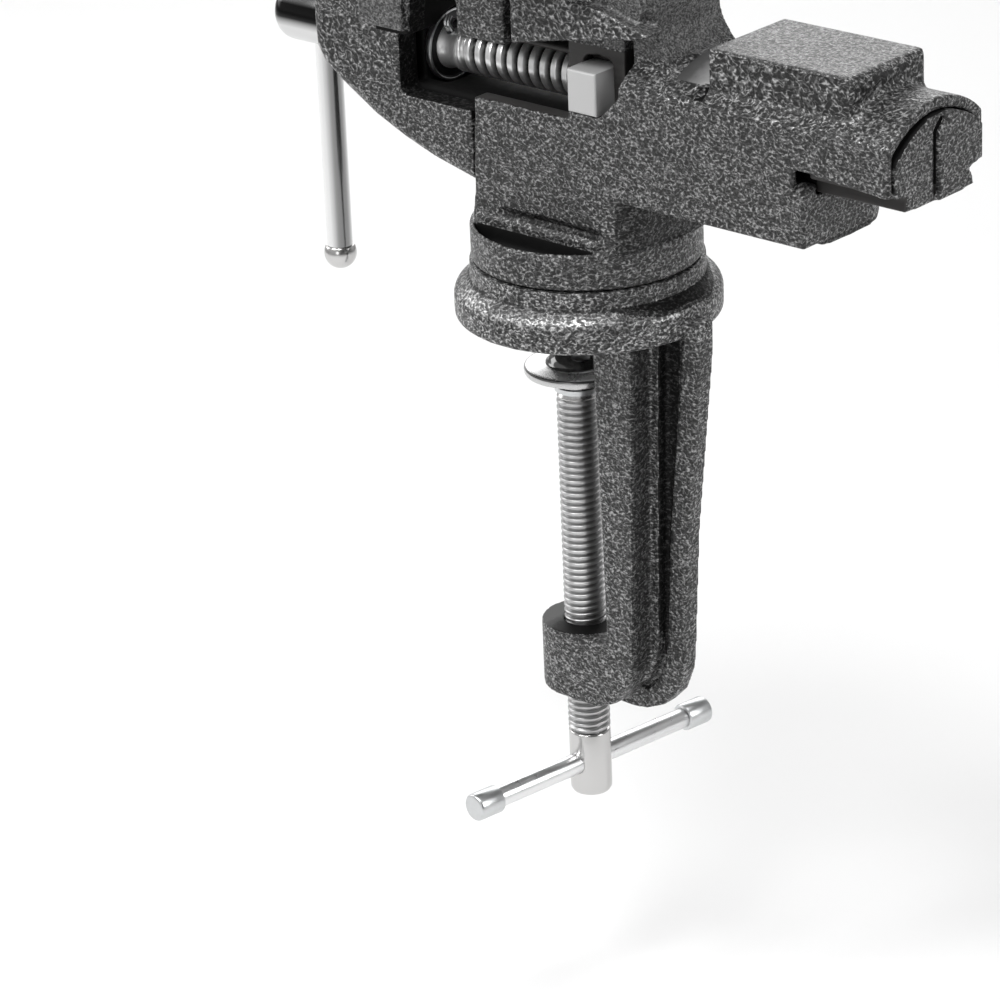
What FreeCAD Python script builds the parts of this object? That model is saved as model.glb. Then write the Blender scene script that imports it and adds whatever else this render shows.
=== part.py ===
import FreeCAD, Part
import Sketcher
import os
import math

# Clamp-on swivel bench vise. Millimetres. +Z up, +X from the screw handle towards the anvil.
# The origin is on the swivel axis, in the underside of the round flange (the face that sits on the bench top).

V = FreeCAD.Vector
doc = FreeCAD.newDocument("SwivelBenchVise")

# ---------------------------------------------------------------- driving dimensions
sheet = doc.addObject("Spreadsheet::Sheet", "Dims")
DIMS = [
    # clamp frame
    ("flange_radius", 38.0), ("flange_wall", 6.8), ("hub_radius", 33.3), ("hub_foot", 11.4), ("hub_top", 16.7),
    ("arm_half_width", 12.8), ("arm_inner_top", 11.0), ("arm_inner_low", 12.8), ("arm_back_top", 26.1), ("arm_back_low", 23.4),
    ("rib_half_width", 5.0), ("rib_depth", 3.3), ("web_half_width", 1.3), ("bead_half_width", 2.9),
    ("boss_top", -97.8), ("boss_low", -118.3), ("clamp_x", -5.5), ("clamp_bore", 6.27),
    # swivel bolt
    ("bolt_radius", 4.0), ("bolt_head_radius", 9.0), ("bolt_head_thick", 3.4), ("bolt_square", 8.0), ("bolt_square_top", 8.0), ("bolt_end", 56.4),
    # vise body
    ("disc_radius", 32.75), ("disc_low", 17.0), ("disc_top", 27.6), ("half_width", 20.8), ("neck_front", -24.3), ("neck_rear", 32.0),
    ("block_low", 43.1), ("block_rear", 93.0), ("sill", 63.9), ("channel_floor", 57.0), ("channel_half", 15.0), ("nut_pocket_floor", 46.0),
    ("arch_centre", 54.4), ("arch_outer", 30.0), ("tunnel_radius", 26.65), ("tunnel_half", 18.65), ("tunnel_floor", 60.9), ("shell_front", 30.5), ("shell_rear", 120.4),
    ("jaw_face", -7.2), ("plate_seat", -3.4), ("plate_low", 103.9), ("jaw_top", 128.0), ("jaw_half", 37.5),
    ("anvil_front", 58.4), ("anvil_rear", 106.1), ("anvil_half", 16.4), ("anvil_top", 91.1),
    ("lug_inner", 9.3), ("lug_outer", 13.3), ("core_half", 13.8), ("lug_front", 7.1), ("lug_rear", 27.1), ("slot_front", 12.35), ("slot_rear", 22.85),
    # slide
    ("rail_low", 57.4), ("rail_top", 61.0), ("slide_half", 18.3), ("slide_arch", 26.3), ("slide_low", 62.3), ("slide_end", 122.2),
    ("strap_half", 8.7), ("strap_low", 77.5), ("solid_start", 93.0), ("cavity_half", 12.7),
    ("movable_rear", -23.1), ("movable_face", -9.8), ("movable_seat", -13.6), ("front_wall", -54.0), ("boss_face", -87.0), ("boss_inner", -49.6), ("washer_face", -46.9), ("pin_x", -45.0), ("pin_tilt", 35.0),
    # screws
    ("screw_axis", 69.3), ("screw_radius", 7.0), ("screw_bore", 7.06), ("screw_head_radius", 9.0), ("screw_head_end", -111.5), ("handle_x", -97.0),
    ("handle_radius", 3.85), ("handle_hole", 3.92), ("ball_radius", 4.85), ("ball_low", -4.1), ("ball_high", 81.0),
    ("clamp_radius", 6.2), ("clamp_head_low", -154.3), ("clamp_head_top", -134.1), ("bar_z", -144.3), ("bar_radius", 3.1), ("bar_hole", 3.16),
    ("bar_near", -45.6), ("bar_far", 46.0), ("cap_radius", 4.15), ("cap_length", 9.0), ("bar_turn", 8.0),
    ("pad_radius", 15.1), ("pad_top", -13.5), ("pad_rim_low", -20.5),
    # jaw plates
    ("plate_thick", 5.0), ("plate_high", 23.4), ("plate_screw_y", 22.0), ("plate_screw_z", 115.6), ("plate_screw_radius", 2.5),
]
VAL = {}
for row, (alias, value) in enumerate(DIMS, start=1):
    sheet.set("A%d" % row, alias.replace("_", " "))
    sheet.set("B%d" % row, repr(float(value)))
    sheet.setAlias("B%d" % row, alias)
    VAL[alias] = float(value)
doc.recompute()


class Q:
    """A number that also knows the spreadsheet expression it comes from."""

    def __init__(self, value, text):
        self.v = float(value)
        self.s = text

    def __add__(self, o):
        o = q(o)
        return Q(self.v + o.v, "(%s + %s)" % (self.s, o.s))

    __radd__ = __add__

    def __sub__(self, o):
        o = q(o)
        return Q(self.v - o.v, "(%s - %s)" % (self.s, o.s))

    def __rsub__(self, o):
        return q(o) - self

    def __mul__(self, o):
        o = q(o)
        return Q(self.v * o.v, "(%s * %s)" % (self.s, o.s))

    __rmul__ = __mul__

    def __truediv__(self, o):
        o = q(o)
        return Q(self.v / o.v, "(%s / %s)" % (self.s, o.s))

    def __neg__(self):
        return Q(-self.v, "(0 - %s)" % self.s)


def q(x):
    return x if isinstance(x, Q) else Q(x, repr(float(x)))


def d(name):
    return Q(VAL[name], "Dims." + name)


def bind(obj, prop, value):
    obj.setExpression(prop, q(value).s)


# ---------------------------------------------------------------- PartDesign helpers
def new_body(label):
    b = doc.addObject("PartDesign::Body", label)
    b.Label = label
    return b


def plane(body, role):
    for o in body.Origin.OriginFeatures:
        if o.Role == role:
            return o
    raise RuntimeError(role)


def new_sketch(body, role, offset):
    sk = body.newObject("Sketcher::SketchObject", "Sketch")
    sk.AttachmentSupport = [(plane(body, role), "")]
    sk.MapMode = "FlatFace"
    if offset is not None:
        off = q(offset)
        sk.AttachmentOffset = FreeCAD.Placement(V(0, 0, off.v), FreeCAD.Rotation())
        sk.setExpression("AttachmentOffset.Base.z", off.s)
    return sk


def pin(sk, geo, pos, x, y):
    if x is not None:
        x = q(x)
        k = sk.addConstraint(Sketcher.Constraint("DistanceX", -1, 1, geo, pos, x.v))
        sk.setExpression("Constraints[%d]" % k, x.s)
    if y is not None:
        y = q(y)
        k = sk.addConstraint(Sketcher.Constraint("DistanceY", -1, 1, geo, pos, y.v))
        sk.setExpression("Constraints[%d]" % k, y.s)


def outline(body, role, pts, offset=None):
    """Closed sketch. pts holds (x, y) corners; an item ("arc", cx, cy, r) between two corners makes that side
    an arc about (cx, cy). A corner next to an arc gives its x only; its height follows the arc."""
    sk = new_sketch(body, role, offset)
    corners = []
    arcs = {}
    for p in pts:
        if p[0] == "arc":
            arcs[len(corners) - 1] = p
        else:
            corners.append((q(p[0]), q(p[1])))
    n = len(corners)
    geo = []
    for i in range(n):
        a, b = corners[i], corners[(i + 1) % n]
        if i in arcs:
            cx, cy, r = q(arcs[i][1]), q(arcs[i][2]), q(arcs[i][3])
            t0 = math.atan2(a[1].v - cy.v, a[0].v - cx.v)
            t1 = math.atan2(b[1].v - cy.v, b[0].v - cx.v)
            # sides run clockwise over the top, so the arc is stored from the far end back
            geo.append(sk.addGeometry(Part.ArcOfCircle(Part.Circle(V(cx.v, cy.v, 0), V(0, 0, 1), r.v), t1, t0), False))
        else:
            geo.append(sk.addGeometry(Part.LineSegment(V(a[0].v, a[1].v, 0), V(b[0].v, b[1].v, 0)), False))
    for i in range(n):
        j = (i + 1) % n
        end = 1 if i in arcs else 2
        start = 2 if j in arcs else 1
        sk.addConstraint(Sketcher.Constraint("Coincident", geo[i], end, geo[j], start))
    for i in range(n):
        start = 2 if i in arcs else 1
        beside = (i in arcs) or ((i - 1) % n in arcs)
        pin(sk, geo[i], start, corners[i][0], None if beside else corners[i][1])
        if i in arcs:
            pin(sk, geo[i], 3, arcs[i][1], arcs[i][2])
            r = q(arcs[i][3])
            k = sk.addConstraint(Sketcher.Constraint("Radius", geo[i], r.v))
            sk.setExpression("Constraints[%d]" % k, r.s)
    return sk


def circles(body, role, items, offset=None):
    sk = new_sketch(body, role, offset)
    for cx, cy, r in items:
        cx, cy, r = q(cx), q(cy), q(r)
        g = sk.addGeometry(Part.Circle(V(cx.v, cy.v, 0), V(0, 0, 1), r.v), False)
        k = sk.addConstraint(Sketcher.Constraint("Radius", g, r.v))
        sk.setExpression("Constraints[%d]" % k, r.s)
        pin(sk, g, 3, cx, cy)
    return sk


def mid(role, lo, hi):
    m = (q(lo) + q(hi)) * 0.5
    return -m if role == "XZ_Plane" else m


def prism(body, sk, lo, hi, cut=False):
    """Pad or pocket of a sketch that lies half way between lo and hi."""
    f = body.newObject("PartDesign::Pocket" if cut else "PartDesign::Pad", "Cut" if cut else "Pad")
    f.Profile = sk
    f.SideType = "Symmetric"
    f.Length = (q(hi) - q(lo)).v
    bind(f, "Length", q(hi) - q(lo))
    doc.recompute()
    return f


def block(body, role, pts, lo, hi, cut=False):
    before = body.Shape.Volume if body.Shape and not body.Shape.isNull() else 0.0
    sk = outline(body, role, pts, mid(role, lo, hi))
    f = prism(body, sk, lo, hi, cut)
    check_change(body, f, before, cut)
    return f


def drum(body, role, items, lo, hi, cut=False):
    before = body.Shape.Volume if body.Shape and not body.Shape.isNull() else 0.0
    sk = circles(body, role, items, mid(role, lo, hi))
    f = prism(body, sk, lo, hi, cut)
    check_change(body, f, before, cut)
    return f


def check_change(body, f, before, cut):
    after = body.Shape.Volume
    if cut and not after < before - 1e-3:
        raise RuntimeError("%s: %s cuts nothing" % (body.Label, f.Name))
    if not cut and not after > before + 1e-3:
        raise RuntimeError("%s: %s adds nothing" % (body.Label, f.Name))


def turned(body, pts, axis="Z_Axis", cut=False):
    """Solid of revolution. About Z the sketch holds (r, z); about X it holds (x, r)."""
    sk = outline(body, "XZ_Plane", pts)
    f = body.newObject("PartDesign::Groove" if cut else "PartDesign::Revolution", "Groove" if cut else "Turned")
    f.Profile = sk
    f.ReferenceAxis = (plane(body, axis), [""])
    f.Angle = 360.0
    doc.recompute()
    return f


def rounded(body, size, choose, what="PartDesign::Fillet"):
    """Fillet or chamfer of every edge that choose() accepts. Left out if the kernel can't build it."""
    base = body.Tip
    names = []
    for i, e in enumerate(base.Shape.Edges, start=1):
        if choose(e):
            names.append("Edge%d" % i)
    if not names:
        print("no edges for", body.Label, size)
        return None
    f = body.newObject(what, "Round")
    f.Base = (base, names)
    if what == "PartDesign::Fillet":
        f.Radius = size
    else:
        f.Size = size
    doc.recompute()
    if "Invalid" in f.State or "Error" in f.State or f.Shape.isNull() or not f.Shape.isValid():
        print("round left out:", body.Label, size, len(names))
        body.removeObject(f)
        doc.removeObject(f.Name)
        body.Tip = base
        doc.recompute()
        return None
    return f


def ends(e):
    return [v.Point for v in e.Vertexes]


def close(a, b, tol=0.05):
    return abs(a - b) < tol


def lift(body, x=None, y=None, z=None):
    """Places a body, with its position bound to the sheet."""
    body.Placement = FreeCAD.Placement(V(q(x or 0).v, q(y or 0).v, q(z or 0).v), FreeCAD.Rotation())
    for axis, value in (("x", x), ("y", y), ("z", z)):
        if value is not None:
            bind(body, "Placement.Base." + axis, value)


PARTS = []


def keep(obj, label=None):
    if label:
        obj.Label = label
    PARTS.append(obj)
    return obj


# ================================================================ clamp frame
frame = new_body("clamp_frame")
turned(frame, [(0, 0), (d("flange_radius") - 0.8, 0), (d("flange_radius"), 0.8), (d("flange_radius"), d("flange_wall")),
               (d("flange_radius") - 0.7, d("flange_wall") + 1.7), (d("flange_radius") - 2.2, d("flange_wall") + 3.2),
               (d("hub_radius") + 0.5, d("hub_foot")), (d("hub_radius"), d("hub_foot") + 0.5), (d("hub_radius"), d("hub_top")), (0, d("hub_top"))])
hw = d("arm_half_width")
# inner flange of the arm, as wide as the boss, carried round the lower corner
block(frame, "XZ_Plane", [(d("arm_inner_top"), 0.5), (d("arm_back_top"), 0.5), (d("arm_back_low"), -88), (23.0, -101), (20.6, -109), (15.6, -115.4),
                          (9.0, d("boss_low")), (d("clamp_x"), d("boss_low")), (d("clamp_x"), d("boss_top")), (d("arm_inner_low") - 1.5, d("boss_top")),
                          (d("arm_inner_low"), d("boss_top") + 2.0), (d("arm_inner_low"), -88)], -hw, hw)
# boss of the clamp screw
drum(frame, "XY_Plane", [(d("clamp_x"), 0, hw)], d("boss_low"), d("boss_top"))
# stiffening rib behind the flange
rb = d("rib_half_width")
block(frame, "XZ_Plane", [(20, 0.5), (d("arm_back_top") + d("rib_depth"), 0.5), (d("arm_back_low") + d("rib_depth"), -88), (25.6, -100), (22.6, -108), (16.0, -113), (12, -113), (18, -90)], -rb, rb)
# web
wb = d("web_half_width")
block(frame, "XZ_Plane", [(24, 0.5), (40, 0.5), (34, -60), (31.8, -96), (30, -106), (22, -114), (10, -117), (20, -90)], -wb, wb)
# outer bead, which wraps under the corner
bd = d("bead_half_width")
block(frame, "XZ_Plane", [(36.0, 5.0), (41.9, 5.3), (42.8, 4.2), (42.3, -6.7), (36.3, -60), (34.1, -96), (33.4, -104), (30.4, -111.6), (25.6, -116.6), (19, -119.6), (13, -120.4),
                          (5, -119.6), (-1, -117.6), (8, -112), (14, -114.2), (20, -113), (24.6, -108.6), (27.0, -102), (27.9, -94), (30.0, -60), (35.6, -6.7)], -bd, bd)
# hole for the clamp screw and seat of the swivel bolt
drum(frame, "XY_Plane", [(d("clamp_x"), 0, d("clamp_bore"))], -125, -90, cut=True)
drum(frame, "XY_Plane", [(0, 0, d("bolt_radius") + 0.05)], -1, 18, cut=True)
sq = d("bolt_square") * 0.5 + 0.05
block(frame, "XY_Plane", [(-sq, -sq), (sq, -sq), (sq, sq), (-sq, sq)], -1, d("bolt_square_top"), cut=True)
drum(frame, "XY_Plane", [(0, 0, d("bolt_head_radius") + 0.05)], -1, d("bolt_head_thick"), cut=True)
rounded(frame, 1.2, lambda e: len(e.Vertexes) == 2 and all(close(abs(p.y), VAL["arm_half_width"]) for p in ends(e)) and abs(ends(e)[0].z - ends(e)[1].z) > 5
        and e.BoundBox.ZMax < 1 and all(p.x > 0 for p in ends(e)))
keep(frame)

# ================================================================ swivel bolt, washer, nut
bolt = new_body("swivel_bolt")
turned(bolt, [(0, 0), (d("bolt_head_radius"), 0), (d("bolt_head_radius"), d("bolt_head_thick")), (d("bolt_radius"), d("bolt_head_thick")),
              (d("bolt_radius"), d("bolt_end") - 0.8), (d("bolt_radius") - 0.8, d("bolt_end")), (0, d("bolt_end"))])
s2 = d("bolt_square") * 0.5
block(bolt, "XY_Plane", [(-s2, -s2), (s2, -s2), (s2, s2), (-s2, s2)], d("bolt_head_thick") - 0.2, d("bolt_square_top"))
keep(bolt)

washer = new_body("swivel_washer")
turned(washer, [(4.1, d("nut_pocket_floor") + 0.1), (7.9, d("nut_pocket_floor") + 0.1), (7.9, d("nut_pocket_floor") + 1.9), (4.1, d("nut_pocket_floor") + 1.9)])
keep(washer)

nut = new_body("swivel_nut")
hexr = 7.3
block(nut, "XY_Plane", [(hexr * math.cos(math.radians(60 * k)), hexr * math.sin(math.radians(60 * k))) for k in range(6)],
      d("nut_pocket_floor") + 1.95, d("nut_pocket_floor") + 8.6)
drum(nut, "XY_Plane", [(0, 0, d("bolt_radius") + 0.04)], 40, 60, cut=True)
keep(nut)

# ================================================================ vise body
body = new_body("vise_body")
w = d("half_width")
turned(body, [(0, d("disc_low")), (d("disc_radius") - 0.5, d("disc_low")), (d("disc_radius"), d("disc_low") + 0.5), (d("disc_radius"), d("disc_top") - 0.5),
              (d("disc_radius") - 0.5, d("disc_top")), (0, d("disc_top"))])
# neck, with its front leaning slightly and its rear corners rounded
nr = 9.0
corner = []
for k in range(7):
    t = math.radians(15.0 * k)
    corner.append((nr * (1 - math.cos(t)), nr * (1 - math.sin(t))))
near = [(d("neck_rear") - cx, -w + cy) for cx, cy in reversed(corner)]
far = [(d("neck_rear") - cx, w - cy) for cx, cy in corner]
block(body, "XY_Plane", [(-22.4, -w)] + near + far + [(-22.4, w)], d("disc_top") - 0.6, d("block_low") + 1)
block(body, "XZ_Plane", [(d("neck_front"), d("disc_top") - 0.6), (-20, d("disc_top") - 0.6), (-20, d("block_low") + 1), (-22.75, d("block_low") + 1), (-22.75, 37.5)], -w, w)
# foot of the neck: a bead along each side with a shallow scoop above it, and a pocket in the disc outside it
for side in (-1, 1):
    block(body, "YZ_Plane", [(20.4 * side, 27.2), (21.7 * side, 27.8), (22.0 * side, 28.8), (21.6 * side, 29.8), (20.4 * side, 30.6)], -22.0, 22.5)
    block(body, "YZ_Plane", [(21.5 * side, 30.5), (20.7 * side, 30.8), (19.9 * side, 31.9), (20.7 * side, 33.6), (21.5 * side, 33.8)], -14.0, 24.0, cut=True)
    block(body, "YZ_Plane", [(21.5 * side, 30.6), (20.2 * side, 30.9), (18.9 * side, 31.8), (20.2 * side, 33.2), (21.5 * side, 33.6)], -2.0, 23.0, cut=True)
    rim = []
    t0 = math.asin(22.1 / 31.6)
    for k in range(13):
        t = math.pi - t0 - (math.pi - 2 * t0) * k / 12.0
        rim.append((31.6 * math.cos(t), 31.6 * math.sin(t) * side))
    block(body, "XY_Plane", rim, 22.8, 32.0, cut=True)
# lower block with a slightly rounded underside
block(body, "XZ_Plane", [(-22.75, d("block_low")), (d("block_rear"), d("block_low")), (d("block_rear"), d("sill") + 2), (60, d("sill") + 2), (60, d("sill")), (-21.6, d("sill"))], -w, w)
block(body, "YZ_Plane", [(-w + 4.0, d("block_low") + 1), (-w + 9.0, d("block_low") - 1.2), (0, d("block_low") - 1.8), (w - 9.0, d("block_low") - 1.2), (w - 4.0, d("block_low") + 1)], 20, d("block_rear"))
rounded(body, 13.0, lambda e: len(e.Vertexes) == 2 and all(close(p.x, VAL["block_rear"]) and close(p.y, VAL["half_width"]) for p in ends(e)) and abs(ends(e)[0].z - ends(e)[1].z) > 5)
# arched shell over the slide
ac = d("arch_centre")


def arch_z(radius, half):
    return VAL["arch_centre"] + math.sqrt(radius ** 2 - half ** 2)


shoulder = arch_z(VAL["arch_outer"], VAL["half_width"])
for low, x0, x1 in ((d("sill") - 0.5, d("shell_front"), d("block_rear") - 0.2), (d("sill") + 0.9, d("block_rear") - 0.4, d("shell_rear"))):
    block(body, "YZ_Plane", [(-w, low), (-w, shoulder), ("arc", 0, ac, d("arch_outer")), (w, shoulder), (w, low)], x0, x1)
# lower edge of the overhang, falling towards its end
for lo, hi in ((-w, -(d("tunnel_half")) + 0.4), (d("tunnel_half") - 0.4, w)):
    block(body, "XZ_Plane", [(d("block_rear") - 0.3, d("sill") + 0.75), (d("shell_rear"), d("sill") - 1.5), (d("shell_rear"), d("sill") + 2), (d("block_rear") - 0.3, d("sill") + 2)], lo, hi)
# walls between the sill and the shell, with the notch that the nut's ears rest in
for lo, hi in ((-w, -(d("channel_half"))), (d("channel_half"), w)):
    block(body, "XZ_Plane", [(12.4, 62), (12.4, 66.05), (23.2, 66.05), (27.0, 69.6), (30.6, 73.4), (32.4, 76.2), (34.0, 76.2), (34.0, 62)], lo, hi)
# core of the upright, narrower than the arch, running out in a concave foot on the deck
ch = d("core_half")
block(body, "XZ_Plane", [(30.5, 70), (48.4, 70), (46.7, 79.4), (45.0, 82.0), (43.0, 84.2), (41.1, 86.8), (39.6, 89.2), (38.9, 91.6), (38.9, 103), (34.5, 115), (23.5, d("jaw_top")),
                         (d("plate_seat"), d("jaw_top")), (d("plate_seat"), 96), (30.5, 92.4)], -ch, ch)
# shoulders between the core and the side band
block(body, "XZ_Plane", [(d("plate_seat"), 94), (35.6, 94), (36.4, 97), (31.5, 110), (18.5, d("jaw_top")), (d("plate_seat"), d("jaw_top"))], -(ch + 3.6), ch + 3.6)
# side band over the window, wedge shaped towards the rear
block(body, "XZ_Plane", [(d("jaw_face"), 81.9), (13.3, 86.2), (30.0, 89.2), (30.0, 95.4), (25.4, 96.7), (13.5, 97.8), (12.0, 104), (11.0, d("jaw_top")),
                         (d("plate_seat"), d("jaw_top")), (d("plate_seat"), d("plate_low")), (d("jaw_face"), d("plate_low") - 0.2)], -w, w)
block(body, "XZ_Plane", [(28.0, 88.8), (36.0, 90.2), (40.9, 91.5), (41.3, 92.5), (34.6, 94.1), (28.0, 96.0)], -w, -(ch) + 0.4)
jh = d("jaw_half")
block(body, "YZ_Plane", [(-jh, d("jaw_top")), (jh, d("jaw_top")), (jh, 108.5), (w + 2, 102.5), (w - 2, 101), (-(w) + 2, 101), (-(w) - 2, 102.5), (-jh, 108.5)], d("plate_seat"), 13.5)
# anvil
block(body, "XY_Plane", [(d("anvil_front"), -d("anvil_half")), (d("anvil_rear"), -d("anvil_half")), (d("anvil_rear"), d("anvil_half")), (d("anvil_front"), d("anvil_half"))], 72.0, d("anvil_top"))
rounded(body, 3.0, lambda e: len(e.Vertexes) == 2 and all(close(p.x, VAL["anvil_rear"]) and close(abs(p.y), VAL["anvil_half"]) for p in ends(e)) and e.BoundBox.ZMax > 90)


def anvil_foot(e):
    b = e.BoundBox
    if b.ZMax > 84.5 or b.ZMin < 77:
        return False
    on_side = all(close(abs(p.y), VAL["anvil_half"], 0.2) for p in ends(e)) and b.XMin > 57 and b.XMax < 107 and b.XLength > 20
    on_end = b.XLength < 4.0 and (close(b.XMax, VAL["anvil_rear"], 0.2)) and b.YLength > 0.5
    return on_side or on_end


rounded(body, 2.6, anvil_foot)
# tunnel of the slide's wide end
tz = arch_z(VAL["tunnel_radius"], VAL["tunnel_half"])
th = d("tunnel_half")
block(body, "YZ_Plane", [(-th, d("tunnel_floor")), (-th, tz), ("arc", 0, ac, d("tunnel_radius")), (th, tz), (th, d("tunnel_floor"))], 29.0, 123.0, cut=True)
# lower channel of the rail
cf = d("channel_half")
block(body, "YZ_Plane", [(-cf, d("channel_floor")), (cf, d("channel_floor")), (cf, d("sill") + 3), (-cf, d("sill") + 3)], -30, 96, cut=True)
# hollow between the run-out and the near corner of the anvil
block(body, "XY_Plane", [(53.4, -18.2), (58.3, -19.2), (58.3, -14.4), (55.6, -14.4)], 77.2, 90, cut=True)
# broken corner at the rear of the lower block
block(body, "YZ_Plane", [(-21.5, 57.7), (-20.6, 57.7), (-14.7, 60.7), (-14.7, 64.6), (-21.5, 64.6)], 89.5, 94.0, cut=True)
# lugs that straddle the ears of the nut
for sgn in (-1, 1):
    a, b2 = (-d("lug_outer"), -d("lug_inner")) if sgn < 0 else (d("lug_inner"), d("lug_outer"))
    block(body, "XZ_Plane", [(d("lug_front"), 64.4), (d("slot_front"), 64.4), (d("slot_front"), 79.0), (d("slot_front") + 1.4, 80.4), (17.6, 81.0), (d("slot_rear") - 1.4, 80.4),
                             (d("slot_rear"), 79.0), (d("slot_rear"), 64.4), (d("lug_rear"), 64.4), (d("lug_rear"), 89.0), (d("lug_front"), 85.4)], a, b2)
# swivel hole and the pocket of its nut
drum(body, "XY_Plane", [(0, 0, d("bolt_radius") + 0.07)], 10, 60, cut=True)
drum(body, "XY_Plane", [(0, 0, 8.6)], d("nut_pocket_floor"), 60, cut=True)
# holes of the jaw plate's screws
drum(body, "YZ_Plane", [(-d("plate_screw_y"), d("plate_screw_z"), d("plate_screw_radius") + 0.04), (d("plate_screw_y"), d("plate_screw_z"), d("plate_screw_radius") + 0.04)], -6, 9, cut=True)
keep(body)

# ================================================================ lead nut
lnut = new_body("lead_nut")
block(lnut, "YZ_Plane", [(-8.9, 61.3), (8.9, 61.3), (8.9, 77.2), (-8.9, 77.2)], 9.5, 25.6)
for lo, hi in ((-20.8, -8.4), (8.4, 20.8)):
    block(lnut, "XZ_Plane", [(12.6, 66.2), (22.6, 66.2), (22.6, 78.4), (12.6, 78.4)], lo, hi)
block(lnut, "XZ_Plane", [(8, 77.2), (28, 77.2), (28, 80), (8, 80)], -9.0, 9.0, cut=True)
drum(lnut, "YZ_Plane", [(0, d("screw_axis"), d("screw_bore"))], 5, 30, cut=True)
rounded(lnut, 0.8, lambda e: len(e.Vertexes) == 2 and all(close(abs(p.y), 20.8) for p in ends(e)))
keep(lnut)

# ================================================================ movable jaw with its slide
jaw = new_body("movable_jaw")
block(jaw, "XZ_Plane", [(d("movable_rear"), 38.3), (-39.1, 42.2), (-50.3, 46.1), (-60.8, 50.7), (-73.5, 58.3), (-80.2, 63.2), (-83.0, 68.2), (-83.4, 76), (-83.0, 86), (-80.0, 89.4),
                        (-66, 92.5), (-56, 98), (-46, 108.5), (-33, 123), (-29.5, d("jaw_top")), (d("movable_seat"), d("jaw_top")), (d("movable_seat"), d("plate_low")),
                        (d("movable_face"), d("plate_low") - 0.2), (d("movable_face"), 80.7), (d("movable_rear"), 80.7)], -w, w)


def belly(e):
    if len(e.Vertexes) != 2:
        return False
    return all(close(abs(p.y), VAL["half_width"]) for p in ends(e)) and e.BoundBox.ZMax < 76.5 and e.BoundBox.XMax > -84 and e.BoundBox.XLength > 0.1 and e.BoundBox.XMin < -25


rounded(jaw, 4.0, belly)
block(jaw, "YZ_Plane", [(-jh, d("jaw_top")), (jh, d("jaw_top")), (jh, 108.5), (w + 2, 102.5), (w - 2, 101), (-(w) + 2, 101), (-(w) - 2, 102.5), (-jh, 108.5)], -27.5, d("movable_seat"))
# side pads over the window
for lo, hi in ((-w - 2.4, -w + 1), (w - 1, w + 2.4)):
    block(jaw, "XZ_Plane", [(-62, 79.0), (-45.4, 79.0), (-45.4, 96.0), (-62, 94.0)], lo, hi)
# front boss
drum(jaw, "YZ_Plane", [(0, d("screw_axis"), 12.6)], d("boss_face"), -80)
# windows in both sides, and the taller opening behind the nose
block(jaw, "XZ_Plane", [(-49.5, 62.4), (-48.7, 60.4), (-46.7, 59.6), (-20, 59.6), (-20, 80.7), (-27.0, 80.7), (-27.0, 90.0), (-29.5, 92.5), (-40, 92.5), (-44, 89.5), (-45.2, 80), (-45.2, 77.4), (-49.5, 77.4)], -30, 30, cut=True)
cv = d("cavity_half")
block(jaw, "XZ_Plane", [(d("front_wall"), 61.0), (-20, 61.0), (-20, 77.4), (d("front_wall"), 77.4)], -cv, cv, cut=True)
# rail, floor, strap and the arched solid end
block(jaw, "XZ_Plane", [(-50, 57.4), (-26, 57.4), (-26, d("rail_top")), (-50, d("rail_top"))], -cv, cv)
block(jaw, "YZ_Plane", [(-14.45, d("rail_low")), (-9, d("rail_low") - 0.25), (9, d("rail_low") - 0.25), (14.45, d("rail_low")), (13.5, d("rail_top")), (-13.5, d("rail_top"))], -28, d("slide_end"))
st = d("strap_half")
stz = arch_z(VAL["slide_arch"], VAL["strap_half"])
block(jaw, "YZ_Plane", [(-st, d("strap_low")), (-st, stz), ("arc", 0, ac, d("slide_arch")), (st, stz), (st, d("strap_low"))], -40, 96)
sh = d("slide_half")
sz = arch_z(VAL["slide_arch"], VAL["slide_half"])
block(jaw, "YZ_Plane", [(-13.5, 60.5), (-12.9, 61.3), (-sh, d("slide_low")), (-sh, sz), ("arc", 0, ac, d("slide_arch")), (sh, sz), (sh, d("slide_low") + 1.5), (12.5, 62.4), (13.4, 60.5)],
      d("solid_start"), d("slide_end"))
# step down the middle of the slide's end
block(jaw, "YZ_Plane", [(-19, 56), (-1.3, 56), (-1.3, 75.8), (2.2, 79.0), (3.0, 82.0), (-19, 82.0)], d("slide_end") - 1.0, d("slide_end") + 2, cut=True)
# groove beside the step, and the gap that shows round the near shoulder
block(jaw, "YZ_Plane", [(-1.9, 58.2), (-0.5, 58.2), (-0.5, 75.3), (2.9, 78.8), (1.7, 79.7), (-1.9, 76.3)], d("slide_end") - 2.6, d("slide_end") + 2, cut=True)
gap = []
for k in range(9):
    t = math.radians(100.0 + 7.0 * k)
    gap.append((27.5 * math.cos(t), VAL["arch_centre"] + 27.5 * math.sin(t)))
for k in range(9):
    t = math.radians(156.0 - 7.0 * k)
    rr = 24.9 + 1.0 * abs(k - 4) / 4.0
    gap.append((rr * math.cos(t), VAL["arch_centre"] + rr * math.sin(t)))
block(jaw, "YZ_Plane", gap, d("slide_end") - 4.0, d("slide_end") + 2, cut=True)
# boss behind the front wall, with room behind it for the rear washer and the retaining pin to turn
block(jaw, "YZ_Plane", [(-9.6, 60.5), (9.6, 60.5), (9.6, 78.0), (-9.6, 78.0)], d("front_wall") - 0.5, d("boss_inner"))
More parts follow.
